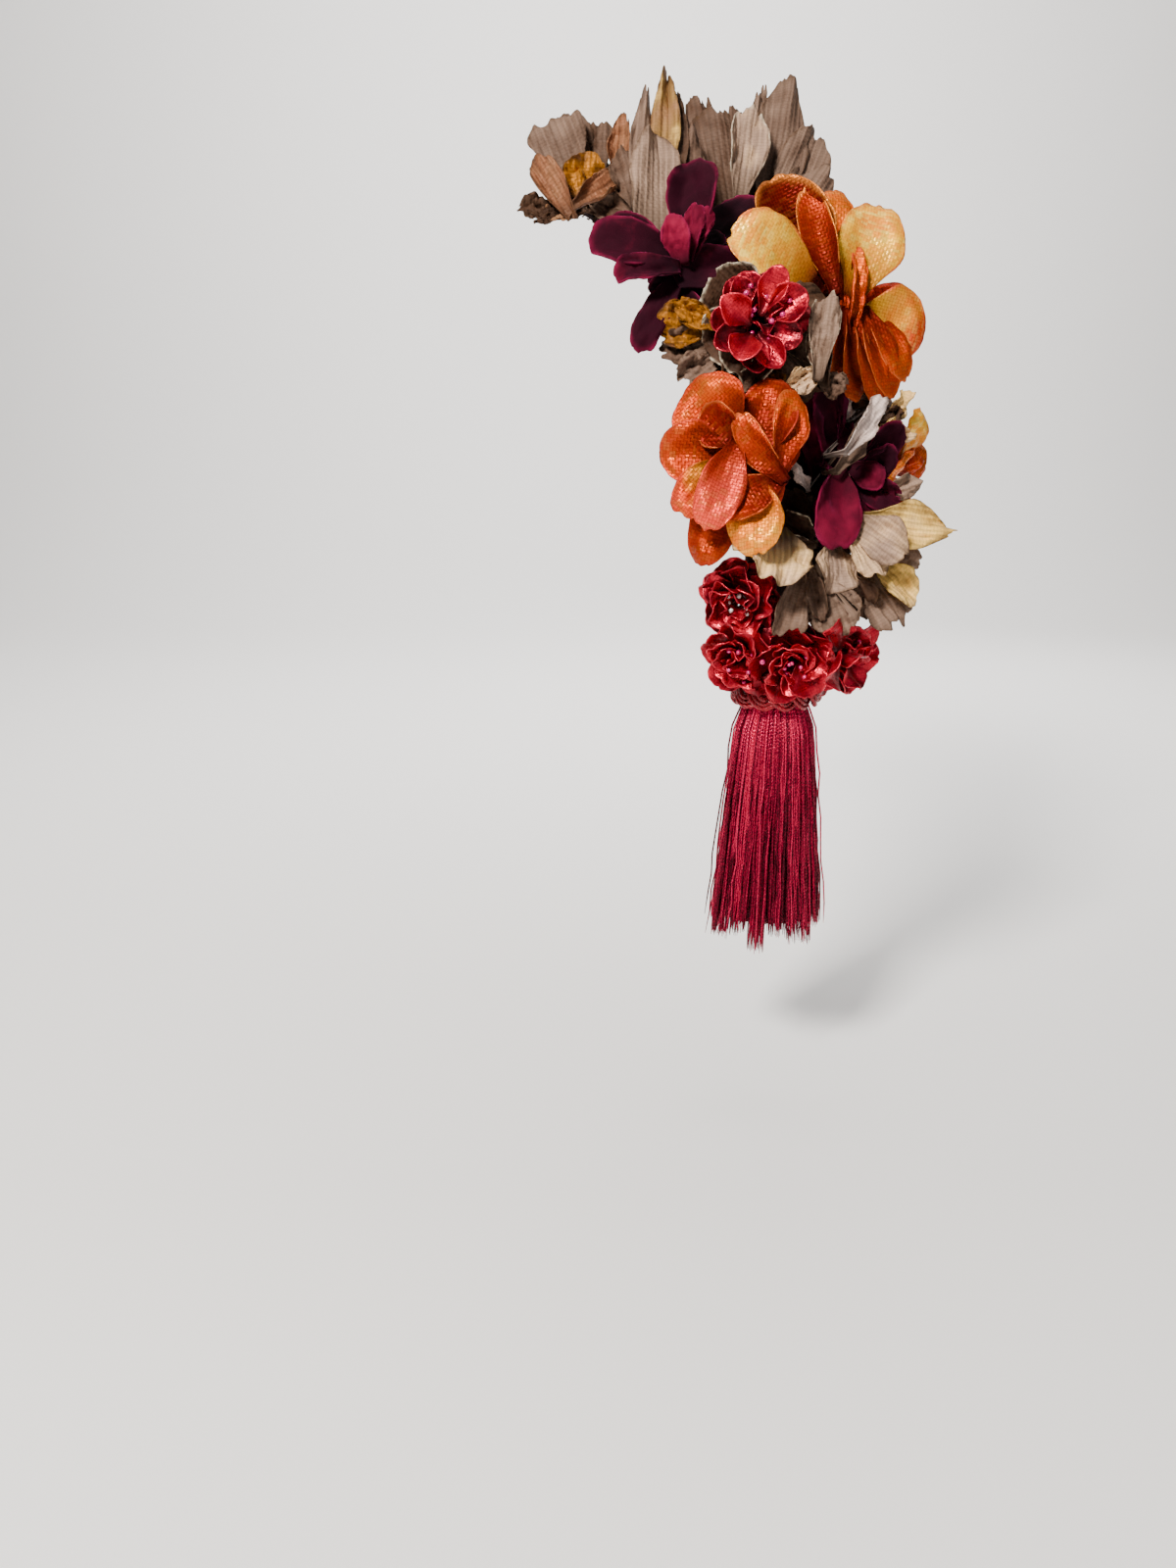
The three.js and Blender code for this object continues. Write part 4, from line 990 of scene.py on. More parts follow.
# Petals: count, turn, rise, length, width, curl, cup, tilt, point, colour tone, where the foot stands off
# the middle of the flower (right, up and out) and any cut of its own
petalTables = {
    "red_flower_top": [
        (1, 140, 20, 13.2, 14.1, 25, 75, 0, 0.1, 0.65, -2.6, -4.8, 6.8, spoon),
        (1, 102, -9, 14.9, 14.9, 20, 60, 0, 0.1, 0.2, -3, -3.2, 4.1, spoon),
        (1, 67, 0, 15.9, 13.8, 12, 80, 0, 0.2, 0.7, -1.5, -2.4, 6.6, spoon),
        (1, 32, 1, 15, 16.7, 15, 70, 0, 0.1, 0.4, -0.9, -2.8, 5.6, spoon),
        (1, 344, -5, 13.9, 12.7, 15, 60, 0, 0.1, 0.25, -2.2, -3.9, 5.3, spoon),
        (1, 308, 6, 13.6, 12.8, 15, 70, 0, 0.1, 0.35, -2.4, -5.1, 6.9, spoon),
        (1, 252, 32, 12.7, 14.9, 25, 75, 0, 0, 0.65, -3.1, -5, 8.4, spoon),
        (1, 207, 19, 12.1, 11.9, 20, 60, 0, 0.1, 0.25, -3.7, -4.7, 5.3, spoon),
        (1, 176, 9, 12.3, 11.6, 20, 55, 0, 0.1, 0.2, -3.7, -2.9, 3.6, spoon),
        (1, 132, -4, 12.5, 12.4, 20, 55, 0, 0.1, 0.2, -2.5, -0.3, 2.5, spoon),
        (1, 282, 8, 12.3, 13.1, 15, 55, 0, 0.1, 0.2, -3.4, -5.1, 5.2, spoon)],
    "taupe_flower_mid": [
        (1, 46, 9, 24.8, 13.7, 8, 90, 0, 0.15, 1.06, -34.6, -18.3, 9.8, pearlLeaf),
        (1, 46, 7, 24, 13.9, 5, 80, 0, 0.2, 0.2, -35.8, -23.8, 6.2, pearlLeaf),
        (1, 99, -22, 10.8, 7.5, 5, 60, 0, 0.3, 1.06, -42.6, -29.9, 1.1, pearlLeaf),
        (1, 72, 1, 9.6, 8.5, 0, 50, 0, 0.3, 1.06, -16, -6.7, -3.3, softFold),
        (1, 52, 20, 14.8, 9.7, -5, 50, 0, 0.3, 0.55, -2.1, -9, 3.5),
        (1, 19, 45, 7.4, 8.2, -5, 60, 0, 0.3, 0.08, -4.6, -5.8, 3.9, crumpled),
        (1, 20, 44, 6.3, 6.2, 0, 50, 0, 0, 0.58, -5.3, -9.4, 4.1),
        (1, 358, 41, 11.7, 7.4, -5, 50, 0, 0.4, 0.5, -4, -11.7, 3.3),
        (1, 18, 29, 15.5, 11, -5, 40, 0, 0.1, 0.32, -13.9, -32.4, 7.8, softFold),
        (1, 66, -12, 13.7, 12.7, -8, 40, 0, 0.2, 0.2, -0.4, -1.4, 0.2, crumpled),
        (3, 10, -28, 24, 18, -10, 25, 0, 0.3, 0.35, 0, 0, 0)],
    "burgundy_flower_mid": [
        (1, 95, -6, 32.3, 18, -6, 40, 0, 0, 0.5, -8.9, -4, 6.5),
        (1, 93, -13, 29.8, 15.2, -6, 50, 0, 0, 0.62, -14.8, -5.3, 4.8),
        (1, 252, 36, 30.8, 23.6, -5, 60, 0, 0, 0.7, -12.2, 1.8, 10.9),
        (1, 261, 26, 26, 22.6, -5, 40, 0, 0, 0.3, -9.1, -1.8, 4.5),
        (1, 43, 16, 19.9, 14.6, -8, 50, 0, 0, 0.4, 1.3, 0.1, 3.9),
        (1, 35, 16, 14.8, 13.8, 15, 60, 0, 0, 0.3, -1.5, -2.8, 7.3),
        (1, 328, 43, 12.3, 12.9, 15, 60, 0, 0, 0.6, -3.8, 0.8, 6.9),
        (1, 332, 38, 18.4, 13, -5, 50, 0, 0, 0.5, -2.7, -4.5, 6.9),
        (1, 303, 38, 12.4, 11.2, -5, 45, 0, 0, 0.5, -3.1, -6, 6.1),
        (1, 40, 13, 12.8, 10.2, 0, 55, 0, 0, 0.25, -3.6, 0.8, 4.1),
        (1, 113, -27, 17.4, 15.8, -8, 30, 0, 0, 0.1, -9.3, -3.2, -5.2)],
    "orange_flower_left": [
        (1, 131, 4, 25, 29.8, -12, 40, 0, 0, 0.45, 4.2, -0.7, 0.1),
        (1, 84, -12, 27.8, 23.3, -8, 55, 0, 0, 0.26, 10.9, -7, 1.1),
        (1, 86, -16, 27.5, 16, -8, 65, -30, 0, 0.44, 18.2, -9.1, 4.2, plain),
        (1, 136, 3, 16.2, 19.8, 5, 75, 15, 0, 0.2, 5.6, -0.5, 5.1, plain),
        (1, 131, 7, 26.1, 15.4, -5, 75, 25, 0.1, 0.36, 21.1, -11.2, 8.9, plain),
        (1, 177, 26, 23, 22.9, -14, 40, 0, 0, 0.42, 2.6, -2, 2.5),
        (1, 229, 33, 23.2, 17.1, -14, 45, 0, 0, 0.9, 1.6, -3, 6.7),
        (1, 255, 38, 31.1, 18, -18, 50, 15, 0, 0.98, 5.1, 3.2, 6.8),
        (1, 209, 26, 23, 15.7, -8, 60, -20, 0.1, 0.28, 20.7, -8.5, 7.7, plain),
        (1, 273, 29, 25.8, 21.2, -12, 45, 0, 0, 0.64, 10.6, -7.3, 6.6, paleEdge),
        (1, 254, 20, 25.4, 17.1, -10, 30, 0, 0, 0.33, 1.8, -11.8, 5.2),
        (1, 7, -25, 15.5, 17.5, -8, 25, 0, 0, 0.2, 4.5, 0.8, -1.9),
        (1, 308, 5, 26.1, 19.5, -8, 25, 0, 0, 0.12, -1.2, 2.1, -2.4),
        (1, 0, -30, 26, 22, -10, 20, 0, 0, 0.2, 0, 0, 0)],
    "orange_flower_top": [
        (1, 152, 24, 34.6, 28.7, -10, 30, -10, 0, 0.78, -6.2, -9.7, 15.7, ribbed),
        # the arch's very dark tone is partly its own dark red, partly painted shade under the gold petal in
        # front of it
        (1, 118, 2, 40.7, 35.1, 12, 75, 0, 0, 0.03, -0.9, -9.5, 6.3, archFold),
        (1, 105, 0, 36.5, 16.2, 5, 75, 20, 0, 0.28, 2.6, -12.5, 11, archFold),
        (1, 84, 2, 31.1, 18.5, -8, 40, 0, 0, 0.56, 5.3, -1.6, 0.7, plain),
        (1, 70, 8, 34.4, 26.7, -10, 30, 0, 0, 0.78, 9.1, -12, 7.9, ribbed),
        (1, 199, 13, 17.9, 16.5, 0, 50, 0, 0, 0.05, -0.1, -6.5, 10.3),
        (1, 62, -48, 32, 26, -10, 20, 0, 0, 0.5, 0, 0, 0),
        (1, 15, -42, 30, 24, -10, 20, 0, 0, 0.5, 0, 0, 0)],
    "orange_flower_right": [
        (1, 348, 35, 26.6, 31.5, -10, 30, 0, 0, 0.84, -1.1, -3.4, 4.5),
        (1, 18, 22, 22.7, 10.8, -10, 30, 0, 0, 0.97, 0.4, -1, 1.3),
        (1, 78, -8, 33.2, 11.3, -5, 80, 0, 0.5, 0.5, -9.1, -13.3, 13),
        (1, 87, -19, 24.8, 5.3, 0, 60, 0, 0.5, 0.45, -7.4, -7.1, 9.6),
        (1, 250, 11, 26, 16.2, 12, 60, 20, 0, 0.46, -9.8, 1.3, 11.5, plain),
        (1, 261, 24, 32.3, 20.6, 5, 60, 12, 0, 0.38, -6.5, 1.2, 9.9, plain),
        (1, 271, 29, 35.7, 21.7, 5, 55, 12, 0, 0.42, -2.8, 1.6, 8.4, plain),
        (1, 278, 35, 34.2, 21.2, 0, 50, 12, 0, 0.38, 1, 2, 6.8, plain),
        (1, 289, 39, 29.8, 19.3, -5, 45, 12, 0, 0.44, 4.8, 2.4, 5.2, plain),
        (1, 350, -40, 28, 24, -10, 20, 0, 0, 0.5, 0, 0, 0),
        (1, 308, -30, 30, 22, -10, 20, 0, 0, 0.4, 0, 0, 0),
        (1, 188, 15, 22, 18, -5, 30, 0, 0, 0.1, 0, 0, 0),
        (1, 214, 20, 24, 16, -5, 40, 0, 0, 0.15, 0, 0, 0)],
    "burgundy_flower_top": [
        (1, 89, 6, 30.8, 21.4, -6, 65, 0, 0, 0.3, 3.5, -0.9, -0.2),
        (1, 65, -28, 40.1, 20.2, -8, 25, 0, 0, 0.1, 3.4, -1.1, -3.5),
        (1, 107, 25, 14.5, 12.1, 25, 70, 0, 0, 0.85, 4, -6, 4),
        (1, 86, 8, 16.7, 9.7, 20, 70, 0, 0, 0.75, 4.8, -4.1, 2.5),
        (1, 74, 1, 16.4, 8.2, 20, 70, 0, 0, 0.7, 5.1, -3.5, 1.2),
        (1, 174, 32, 29.9, 19, -15, 60, 0, 0, 0.45, 2.3, -2.8, 2.9),
        (1, 191, 32, 20.9, 13.5, -15, 75, 0, 0, 0.55, 4.1, -6.8, 5.3),
        (1, 153, 20, 23.6, 14, -10, 30, 0, 0, 0.25, -1.5, -1.1, -0.1),
        (1, 248, 11, 27.6, 13.5, -10, 35, 0, 0, 0.4, 2.3, -7, 1.4),
        (1, 29, -29, 28.2, 19.6, -8, 35, 0, 0, 0.45, 0.5, -10.7, 3.4),
        (1, 295, -11, 18, 11.9, -10, 30, 0, 0, 0.3, 1.3, -8.9, 1.3)],
    "taupe_flower_cup": [
        (1, 142, 6, 21.7, 31.6, 15, 75, 0, 0, 0.06, 1.9, 0, 3.8, creamArc),
        (1, 177, 11, 20.5, 18.9, -10, 45, 0, 0, 0.9, -10.6, -0.6, 10.5, crumpled),
        (1, 159, 13, 16.7, 11.3, 5, 70, 0, 0, 0.93, -8.9, -2.3, 12.6, crumpled),
        (1, 188, 11, 21.6, 14.4, -10, 40, 0, 0, 0.14, -8.6, -4.9, 9.2, crumpled),
        (1, 217, 14, 17.4, 14.4, -10, 40, 0, 0, 0.22, -8.7, -7.3, 9.9, crumpled),
        (1, 210, 14, 18.5, 32.1, 20, 80, 0, 0, 0.08, 0.3, -0.2, 6.6, creamArc),
        (1, 256, 21, 15.6, 25.9, 10, 65, 0, 0, 0.08, 0.8, -2.7, 8.2, creamArc),
        (1, 236, 27, 10.8, 17.9, 0, 50, 0, 0, 0.1, -0.4, -11.7, 9.5, crumpled),
        (1, 289, 16, 9.6, 15.9, 0, 50, 0, 0, 0.87, 2.2, -10.6, 6.5, crumpled),
        (1, 86, -21, 29.2, 16.5, 10, 95, 0, 0, 0.3, 20.3, -19.2, 14.2, smoky),
        (1, 100, -14, 20.8, 11.4, 5, 70, 0, 0, 0.12, 23.2, -21.3, 11.1, smoky),
        (1, 211, 24, 13.7, 11.4, 0, 60, 0, 0, 0.47, 22.8, -13.3, 8, crumpled),
        (1, 322, 7, 9.9, 11.4, 0, 60, 0, 0, 0.15, 20.4, -14.3, 7.2, crumpled),
        (1, 101, -14, 19.5, 18.9, 5, 40, 0, 0, 0.1, 2.5, 2.9, -3.5),
        (1, 14, -12, 25, 24, 0, 20, 0, 0, 0.1, 0, 0, 0),
        (1, 318, -8, 29, 22, 0, 20, 0, 0, 0.1, 0, 0, 0)],
    "taupe_flower_low_right": [
        (1, 360, 30, 33.1, 20.9, -8, 30, 30, 0.75, 0.6, -0.8, 4.9, 8.9, softFold),
        (1, 328, 57, 22.6, 19.1, -15, 40, 15, 0, 0.42, -6.2, 6.6, 10.7, softFold),
        (1, 290, 60, 23.8, 19.9, -15, 45, 10, 0, 0.45, -6.6, 6.1, 9.4, softFold),
        (1, 253, 55, 19.1, 22.2, -12, 25, 0, 0, 0.42, -12.6, 0.6, 12.2, softFold),
        (1, 338, 34, 18.2, 15, -8, 35, 0, 0.1, 0.28, 4.3, -2.7, 12),
        (1, 317, 48, 20.7, 15.7, -8, 45, 20, 0.1, 0.58, 2.9, -6.1, 16.4, softFold),
        (1, 298, 46, 24.1, 22.8, -6, 30, 10, 0, 0.27, 1.5, -10, 14.4, pleated),
        (1, 299, 38, 19.5, 17.8, -6, 30, 0, 0, 0.1, -0.8, -11, 9.8),
        (1, 20, -30, 28, 20, -10, 20, 0, 0.3, 0.2, 0, 0, 0),
        (1, 345, -36, 30, 18, -10, 20, 0, 0.3, 0.3, 0, 0, 0)],
    "taupe_flower_low_left": [
        (1, 251, 79, 21.9, 29.8, -12, 25, 0, 0, 0.52, -13.6, 11.7, 14.4, wavyHem),
        (1, 127, -23, 17, 14.3, -5, 50, 0, 0, 0.03, 0.9, 5.3, 0.6),
        (1, 150, -1, 13.8, 13.5, 0, 60, 0, 0, 0.04, 3.1, 4.8, 3.5, creamEdge),
        (1, 175, 13, 15.8, 9.5, 0, 60, 0, 0, 0.05, 3.8, 3.6, 5.8, creamEdge),
        (1, 249, 46, 26.7, 21.2, -5, 85, 0, 0, 0.19, -2.5, -0.1, 11.9, fanned),
        (1, 287, 42, 21.2, 10.1, -5, 80, 0, 0.2, 0.18, -1.7, 1.9, 11.7),
        (1, 296, 41, 22.4, 21.1, -8, 30, 0, 0, 0.26, 3, -2.8, 12.1, crumpled),
        (1, 302, 27, 19.4, 20.1, -6, 30, 0, 0, 0.07, 9.2, -2.8, 5.6),
        (1, 314, 19, 17.8, 19, -6, 30, 0, 0, 0.12, 3.9, -0.3, -1.8),
        (1, 62, -36, 24, 18, -10, 20, 0, 0.2, 0.1, 0, 0, 0)],
    "red_flower_bottom_mid": [
        (5, 30, 20, 15.5, 17, 25, 42, 18, 0, 0.45, 0, 0, 0),
        (4, 10, 40, 14, 14, 20, 50, 18, 0, 0.62, 0, 0, 0),
        (3, 40, 58, 12, 13, 15, 60, 18, 0, 0.5, 0, 0, 0),
        (1, 84, -26, 9.9, 19.6, 10, 50, 0, 0, 0.6, 3.3, 0.1, 1.7),
        (1, 109, -26, 9.7, 15, 10, 50, 0, 0, 0.5, -2.3, 0.5, 2.1),
        (1, 293, 33, 14.1, 16.1, 0, 45, 0, 0, 0.5, 1.3, 2.7, 4.1),
        (1, 350, 23, 10.3, 15.8, 5, 50, 0, 0, 0.55, 3, 2.3, 2.7)],
    "red_flower_low": [
        (5, 10, 18, 14, 16, 25, 42, 18, 0, 0.45, 0, 0, 0),
        (4, 30, 36, 13, 13, 20, 50, 18, 0, 0.62, 0, 0, 0),
        (3, 40, 54, 11, 12, 15, 60, 18, 0, 0.5, 0, 0, 0),
        (1, 120, -4, 11.5, 17.1, 5, 50, 0, 0, 0.5, 1, 2.2, 0.4),
        (1, 150, 17, 13.1, 14.9, 5, 50, 0, 0, 0.4, 1.1, 1.7, 1.2),
        (1, 44, -35, 11.4, 14.9, 5, 50, 0, 0, 0.45, 0.5, 1.6, 1.5)],
    "red_flower_bottom_right": [
        (5, 0, 20, 15, 17, 25, 42, 18, 0, 0.45, -0.3, -4, 2.7),
        (4, 20, 38, 13, 14, 20, 50, 18, 0, 0.62, -0.3, -4, 2.7),
        (3, 40, 56, 11, 13, 15, 60, 18, 0, 0.5, -0.3, -4, 2.7),
        (1, 35, 13, 16.4, 13.8, 0, 45, 0, 0, 0.5, -0.5, -2.5, 4.8),
        (1, 23, 25, 11.3, 6.6, 0, 60, 0, 0.5, 0.6, -0.7, -2.3, 7.8),
        (1, 54, -10, 11.3, 15.3, 5, 45, 0, 0, 0.5, -3.8, -3.5, 2.3),
        (1, 225, 13, 12.4, 14.6, 10, 50, 0, 0, 0.5, -5.5, -0.6, 9.3),
        (1, 132, -34, 9.3, 13.9, 10, 50, 0, 0, 0.6, -4.1, -0.7, 6),
        (1, 196, 32, 16.7, 16.6, 10, 45, 0, 0, 0.55, -11.9, 4.2, 16),
        (1, 127, -3, 13.2, 16.6, 10, 45, 0, 0, 0.5, -12.2, 3.8, 15.4),
        (1, 107, 67, 9.6, 12.7, 10, 50, 0, 0, 0.6, -10.4, 1.8, 15.6),
        (1, 253, 51, 11.5, 15.8, 5, 45, 0, 0, 0.6, -2.2, -0.6, 11.2)],
    "red_flower_bottom_left": [
        (5, 20, 20, 13.5, 16, 25, 42, 18, 0, 0.45, -2.1, 1.9, -0.2),
        (4, 60, 38, 12.5, 13, 20, 50, 18, 0, 0.62, -2.1, 1.9, -0.2),
        (3, 50, 56, 11, 12, 15, 60, 18, 0, 0.5, -2.1, 1.9, -0.2),
        (1, 86, -31, 7.9, 16.1, 5, 45, 0, 0, 0.5, 2.6, 0.8, -0.4)],
    "taupe_flower_left": [
        (1, 116, 21, 27.6, 28, -10, 25, 0, 0, 0.21, 0.2, -2.8, 0, fanned),
        (1, 106, 14, 27.4, 19.9, -8, 25, 0, 0.1, 0.17, -0.6, 0.3, -3.7),
        (1, 87, 7, 16.3, 21.8, 35, 75, 0, 0, 0.92, 3, -9.2, 1.5),
        (1, 106, 12, 9.9, 13.8, 20, 60, 20, 0, 0.9, 1.6, -8.6, 4.1),
        (1, 127, 18, 24.7, 19.7, 5, 110, 0, 0.1, 0.8, 1.7, -17.3, 5.2),
        (1, 39, -12, 20, 17.7, 10, 110, 0, 0.2, 0.8, -0.1, -14.3, 7.6),
        (1, 92, 9, 26, 13.8, 5, 90, 0, 0.4, 0.78, 14.2, -3.2, -0.7),
        (1, 93, 11, 19.5, 13.4, -8, 40, 0, 0, 0.13, 5.9, 3.8, -3),
        (1, 191, 22, 15, 11.5, 5, 50, 0, 0.1, 0.07, -3.1, -10.9, 4.1, crumpled),
        (1, 199, 23, 13.1, 9.9, 5, 50, 0, 0.1, 0.05, -0.7, -13.7, 4.1, crumpled),
        (1, 217, 8, 11.9, 14.6, -10, 50, 0, 0, 0.74, 1.9, -7.6, 4.1, crumpled),
        (1, 334, -11, 14.3, 12, -10, 30, 0, 0, 0.24, 2.5, -4.9, 1.5, softFold),
        (1, 266, -20, 12.4, 16.9, -10, 25, 0, 0, 0.13, 1, -5.2, 0.1),
        (1, 301, -16, 14.9, 14.1, -10, 25, 0, 0, 0.14, 8, -2.2, -3.7),
        (1, 333, -18, 16.3, 15.5, -10, 25, 0, 0, 0.1, 5.8, -4.7, -2.4),
        (1, 207, -8, 10.7, 12.7, -10, 25, 0, 0, 0.08, 5.1, -9.7, -1.1, crumpled),
        (1, 95, -52, 27, 22, -15, 20, 0, 0.2, 0.15, 0, 0, 0),
        (1, 25, -40, 28, 20, -15, 20, 0, 0.2, 0.2, 0, 0, 0)],
    "taupe_flower_top": [
        (1, 86, -5, 45, 10, -6, 40, 0, 0.55, 0.24, -4.2, 0.8, 0.9),
        (1, 89, -4, 49.6, 13.7, -8, 40, 0, 0.75, 0.68, 5.3, 4.7, -2.3, softFold),
        (1, 89, -5, 40.4, 10.4, -8, 45, 0, 0.7, 0.1, 10, 6.5, -3.4),
        (1, 89, 0, 37, 20.7, -12, 25, -20, 0, 0.33, 2.9, -9.4, 5.4, squareFoot),
        (1, 87, -6, 30.5, 13.3, -10, 30, 0, 0.3, 0.14, 14, 3.6, -4.3),
        (1, 104, -6, 27, 13.2, -10, 30, 0, 0.2, 0.16, -2.3, -1.4, 0),
        (1, 62, -45, 34, 24, -15, 20, 0, 0.2, 0.18, 0, 0, 0),
        (1, 120, -40, 30, 20, -15, 20, 0, 0.2, 0.2, 0, 0, 0)],
    "taupe_flower_right": [
        (1, 97, 6, 43, 28.5, -8, 25, 0, 0, 0.14, -4.5, -9.8, 5, broadSoft),
        (1, 96, 0, 42.1, 14.7, -6, 30, 0, 0, 0.17, -7, 2.9, -1.1, torn),
        (1, 79, 8, 34.9, 18.1, -8, 40, -10, 0, 0.38, -2.4, -3.1, 9.7, softGold),
        (1, 81, 2, 53.6, 11.8, -6, 30, 0, 0.3, 0.22, 5.3, -4.9, 0.8, torn),
        (1, 78, 3, 56.7, 25.4, -6, 25, 0, 0.3, 0.2, 9.5, -9.1, 2.4, broadSoft),
        (1, 63, 2, 43.9, 23.5, -8, 30, 0, 0.1, 0.21, 11.9, -10.2, 4.9, broadSoft),
        (1, 53, 3, 29.3, 20.4, -8, 30, 0, 0, 0.25, 14.2, -9.7, 6.3, broadSoft),
        (1, 88, 4, 43.9, 22.2, -8, 30, 0, 0, 0.15, -1.5, -2.9, -3.3, torn),
        (1, 108, -1, 31.2, 16.8, -8, 25, 0, 0.1, 0.13, -5.8, -3.1, -3.1),
        (1, 289, 37, 26.8, 21.7, -8, 25, 0, 0.1, 0.12, -0.3, -3.7, 6),
        (1, 259, 32, 26.7, 18.9, -8, 25, 0, 0.1, 0.12, -2.9, -4.2, 5.4),
        (1, 95, -12, 38, 18, -10, 25, 10, 0.4, 0.2, 0, 0, 0),
        (1, 70, -55, 33, 24, -15, 20, 0, 0.2, 0.2, 0, 0, 0),
        (1, 10, -40, 32, 24, -15, 20, 0, 0.2, 0.25, 0, 0, 0)],
    "orange_flower_back": [
        (5, 30, 18, 25, 21, -15, 30, 15, 0, 0.6, 0, 0, 0),
        (2, 60, 58, 11, 12, 10, 40, 0, 0, 0.3, 0, 0, 0)],
}


def flowerFrame(hub, facing):
    yaw, pitch = [math.radians(angle) for angle in facing]
    face = Vector((math.sin(yaw) * math.cos(pitch), -math.cos(yaw) * math.cos(pitch), math.sin(pitch)))
    right = Vector((math.cos(yaw), math.sin(yaw), 0))
    turned = Matrix((right, face.cross(right), face)).transposed().to_4x4()
    return Matrix.Translation(seatPoint(*hub)) @ turned


def petalRows(name, cut, dice):
    rows = []
    for row in petalTables[name] + cut["rings"]:
        petal = dict(zip(petalColumns, row))
        petal.update({**cut, **petal.get("own", {})})
        loose = 1 if petal["count"] > 1 else petalStray["single"]
        for i in range(petal["count"]):
            turn = petal["turn"] + 360 / petal["count"] * i + dice.uniform(*petalStray["turn"]) * loose
            rise = petal["rise"] + dice.uniform(*petalStray["rise"]) * loose
            length = petal["length"] * (1 + dice.uniform(*petalStray["length"]) * loose)
            tone = petal["tone"] + dice.uniform(*petalStray["tone"]) * loose
            away = Vector((petal["right"], petal["up"], petal["out"])).length
            mine = {"seed": dice.uniform(*petalStray["seed"]), "claw": clawShare if away > clawFrom else 0}
            rows.append({**petal, **mine, "turn": turn, "rise": rise, "length": length, "tone": tone})
    return rows


# A petal in its flower's frame: a claw from the hub where the blade stands off it, then a blade that is
# arched to its tip, cupped, ruffled, crinkled, torn and rolled at its rim
def petalSpot(petal, a, b):
    seed = petal["seed"]
    reachIn = max(abs(a), abs(b))
    rimTurn = math.atan2(b, a)
    around = Vector((math.cos(rimTurn), math.sin(rimTurn), 0))
    tear = noise.noise(around * petal["tearPace"] + Vector((0, 0, seed)))
    fray = noise.noise(around * bladeShape["frayPace"] + Vector((0, 0, seed)))
    lost = max(0, tear + bladeShape["tearFrom"]) + bladeShape["frayShare"] * abs(fray)
    shrink = 1 - petal["ragged"] * lost * reachIn ** bladeShape["tearPower"]
    a, b = a * shrink, (b + 1) * shrink - 1
    x = a * math.sqrt(1 - b * b / 2)
    y = b * math.sqrt(1 - a * a / 2)
    share = (y + 1) / 2
    claw = petal["claw"]
    lead = min(1, share / claw) if claw else 1
    s = max(0, share - claw) / (1 - claw)
    rim = math.hypot(x, y)
    clawed = mixed(bladeShape["clawWidth"], 1, smooth(lead * 2 - 1))
    narrowing = mixed(petal["waist"], 1, smooth(s / petal["full"])) * clawed
    pointed = smooth((s - bladeShape["pointFrom"]) / bladeShape["pointSpan"])
    pointing = 1 - bladeShape["pointDepth"] * petal["point"] * pointed
    halfWidth = petal["width"] / 2 * narrowing * pointing

    rise = math.radians(petal["rise"])
    curl = math.radians(petal["curl"]) or 1e-4
    slope = rise + curl * s
    reach = petalRoot + petal["length"] * (math.sin(slope) - math.sin(rise)) / curl
    height = petal["length"] * (math.cos(rise) - math.cos(slope)) / curl

    cup = math.radians(petal["cup"])
    grown = smooth(s * 2)
    ruffle = petal["ruffle"] * math.sin(petal["waves"] * math.pi * x + seed) * s * s
    ripple = petal["rimWave"] * math.sin(petal["rimTurns"] * rimTurn + seed)
    rimWave = ripple * smooth((rim - bladeShape["rimFrom"]) / bladeShape["rimSpan"]) * grown
    pleat = math.sin(petal["pleats"] * math.pi * x + 2 * noise.noise(Vector((x * 2, s * 2, seed))))
    stretch = bladeShape["stretch"] * petal["length"] / petal["width"]
    wave = noise.noise(Vector((x * petal["pace"], s * petal["pace"] * stretch, seed)))
    crease = mixed(wave, bladeShape["creaseRise"] - bladeShape["creaseFall"] * abs(wave), petal["sharp"])
    finer = bladeShape["finePace"]
    fine = noise.noise(Vector((x * petal["pace"] * finer, s * petal["pace"] * stretch * finer, seed + 9)))
    creased = crease * bladeShape["creaseShare"] + fine * bladeShape["fineShare"]
    bent = petal["crinkle"] * creased * grown + petal["pleat"] * pleat * smooth(s * 1.5)
    rollShare = smooth((rim - bladeShape["rollFrom"]) / bladeShape["rollSpan"])
    rolled = petal["roll"] * rollShare * smooth(s * 2 - 0.3)
    flatSide = halfWidth / cup * math.sin(cup * x)
    flatRise = halfWidth / cup * (1 - math.cos(cup * x)) + ruffle + rimWave + bent - rolled
    tilt = math.radians(petal["tilt"]) * smooth(s / 0.5)
    sideways = flatSide * math.cos(tilt) - flatRise * math.sin(tilt)
    outwards = flatSide * math.sin(tilt) + flatRise * math.cos(tilt)

    radial = reach - math.sin(slope) * outwards
    turn = math.radians(petal["turn"])
    off = smooth(lead * 1.8)
    point = Vector((petal["right"] * off + radial * math.cos(turn) + sideways * math.sin(turn),
                    petal["up"] * off + radial * math.sin(turn) - sideways * math.cos(turn),
                    petal["out"] * smooth(lead * 2 - 1) + height + math.cos(slope) * outwards))
    marks = {"petalTone": petal["tone"], "petalRim": rim if s > 0.25 else 0, "petalShare": s,
             "petalEdge": petal["edge"], "petalPleat": pleat if petal["pleats"] else 0}
    return {"point": point, "uv": (halfWidth * x, s * petal["length"]), "marks": marks}


# A point that the way from the petal's foot can't reach lies against the cloth in front of it.
def pressed(point, foot, others):
    way = point - foot
    length = way.length
    if length < 1:
        return point
    for tree in others:
        hit = tree.ray_cast(foot, way, length)
        if hit[0] is not None:
            reach = max(0.3, hit[3] - pressGap)
            point = foot + way * (reach / length)
            way = point - foot
            length = way.length
    return point


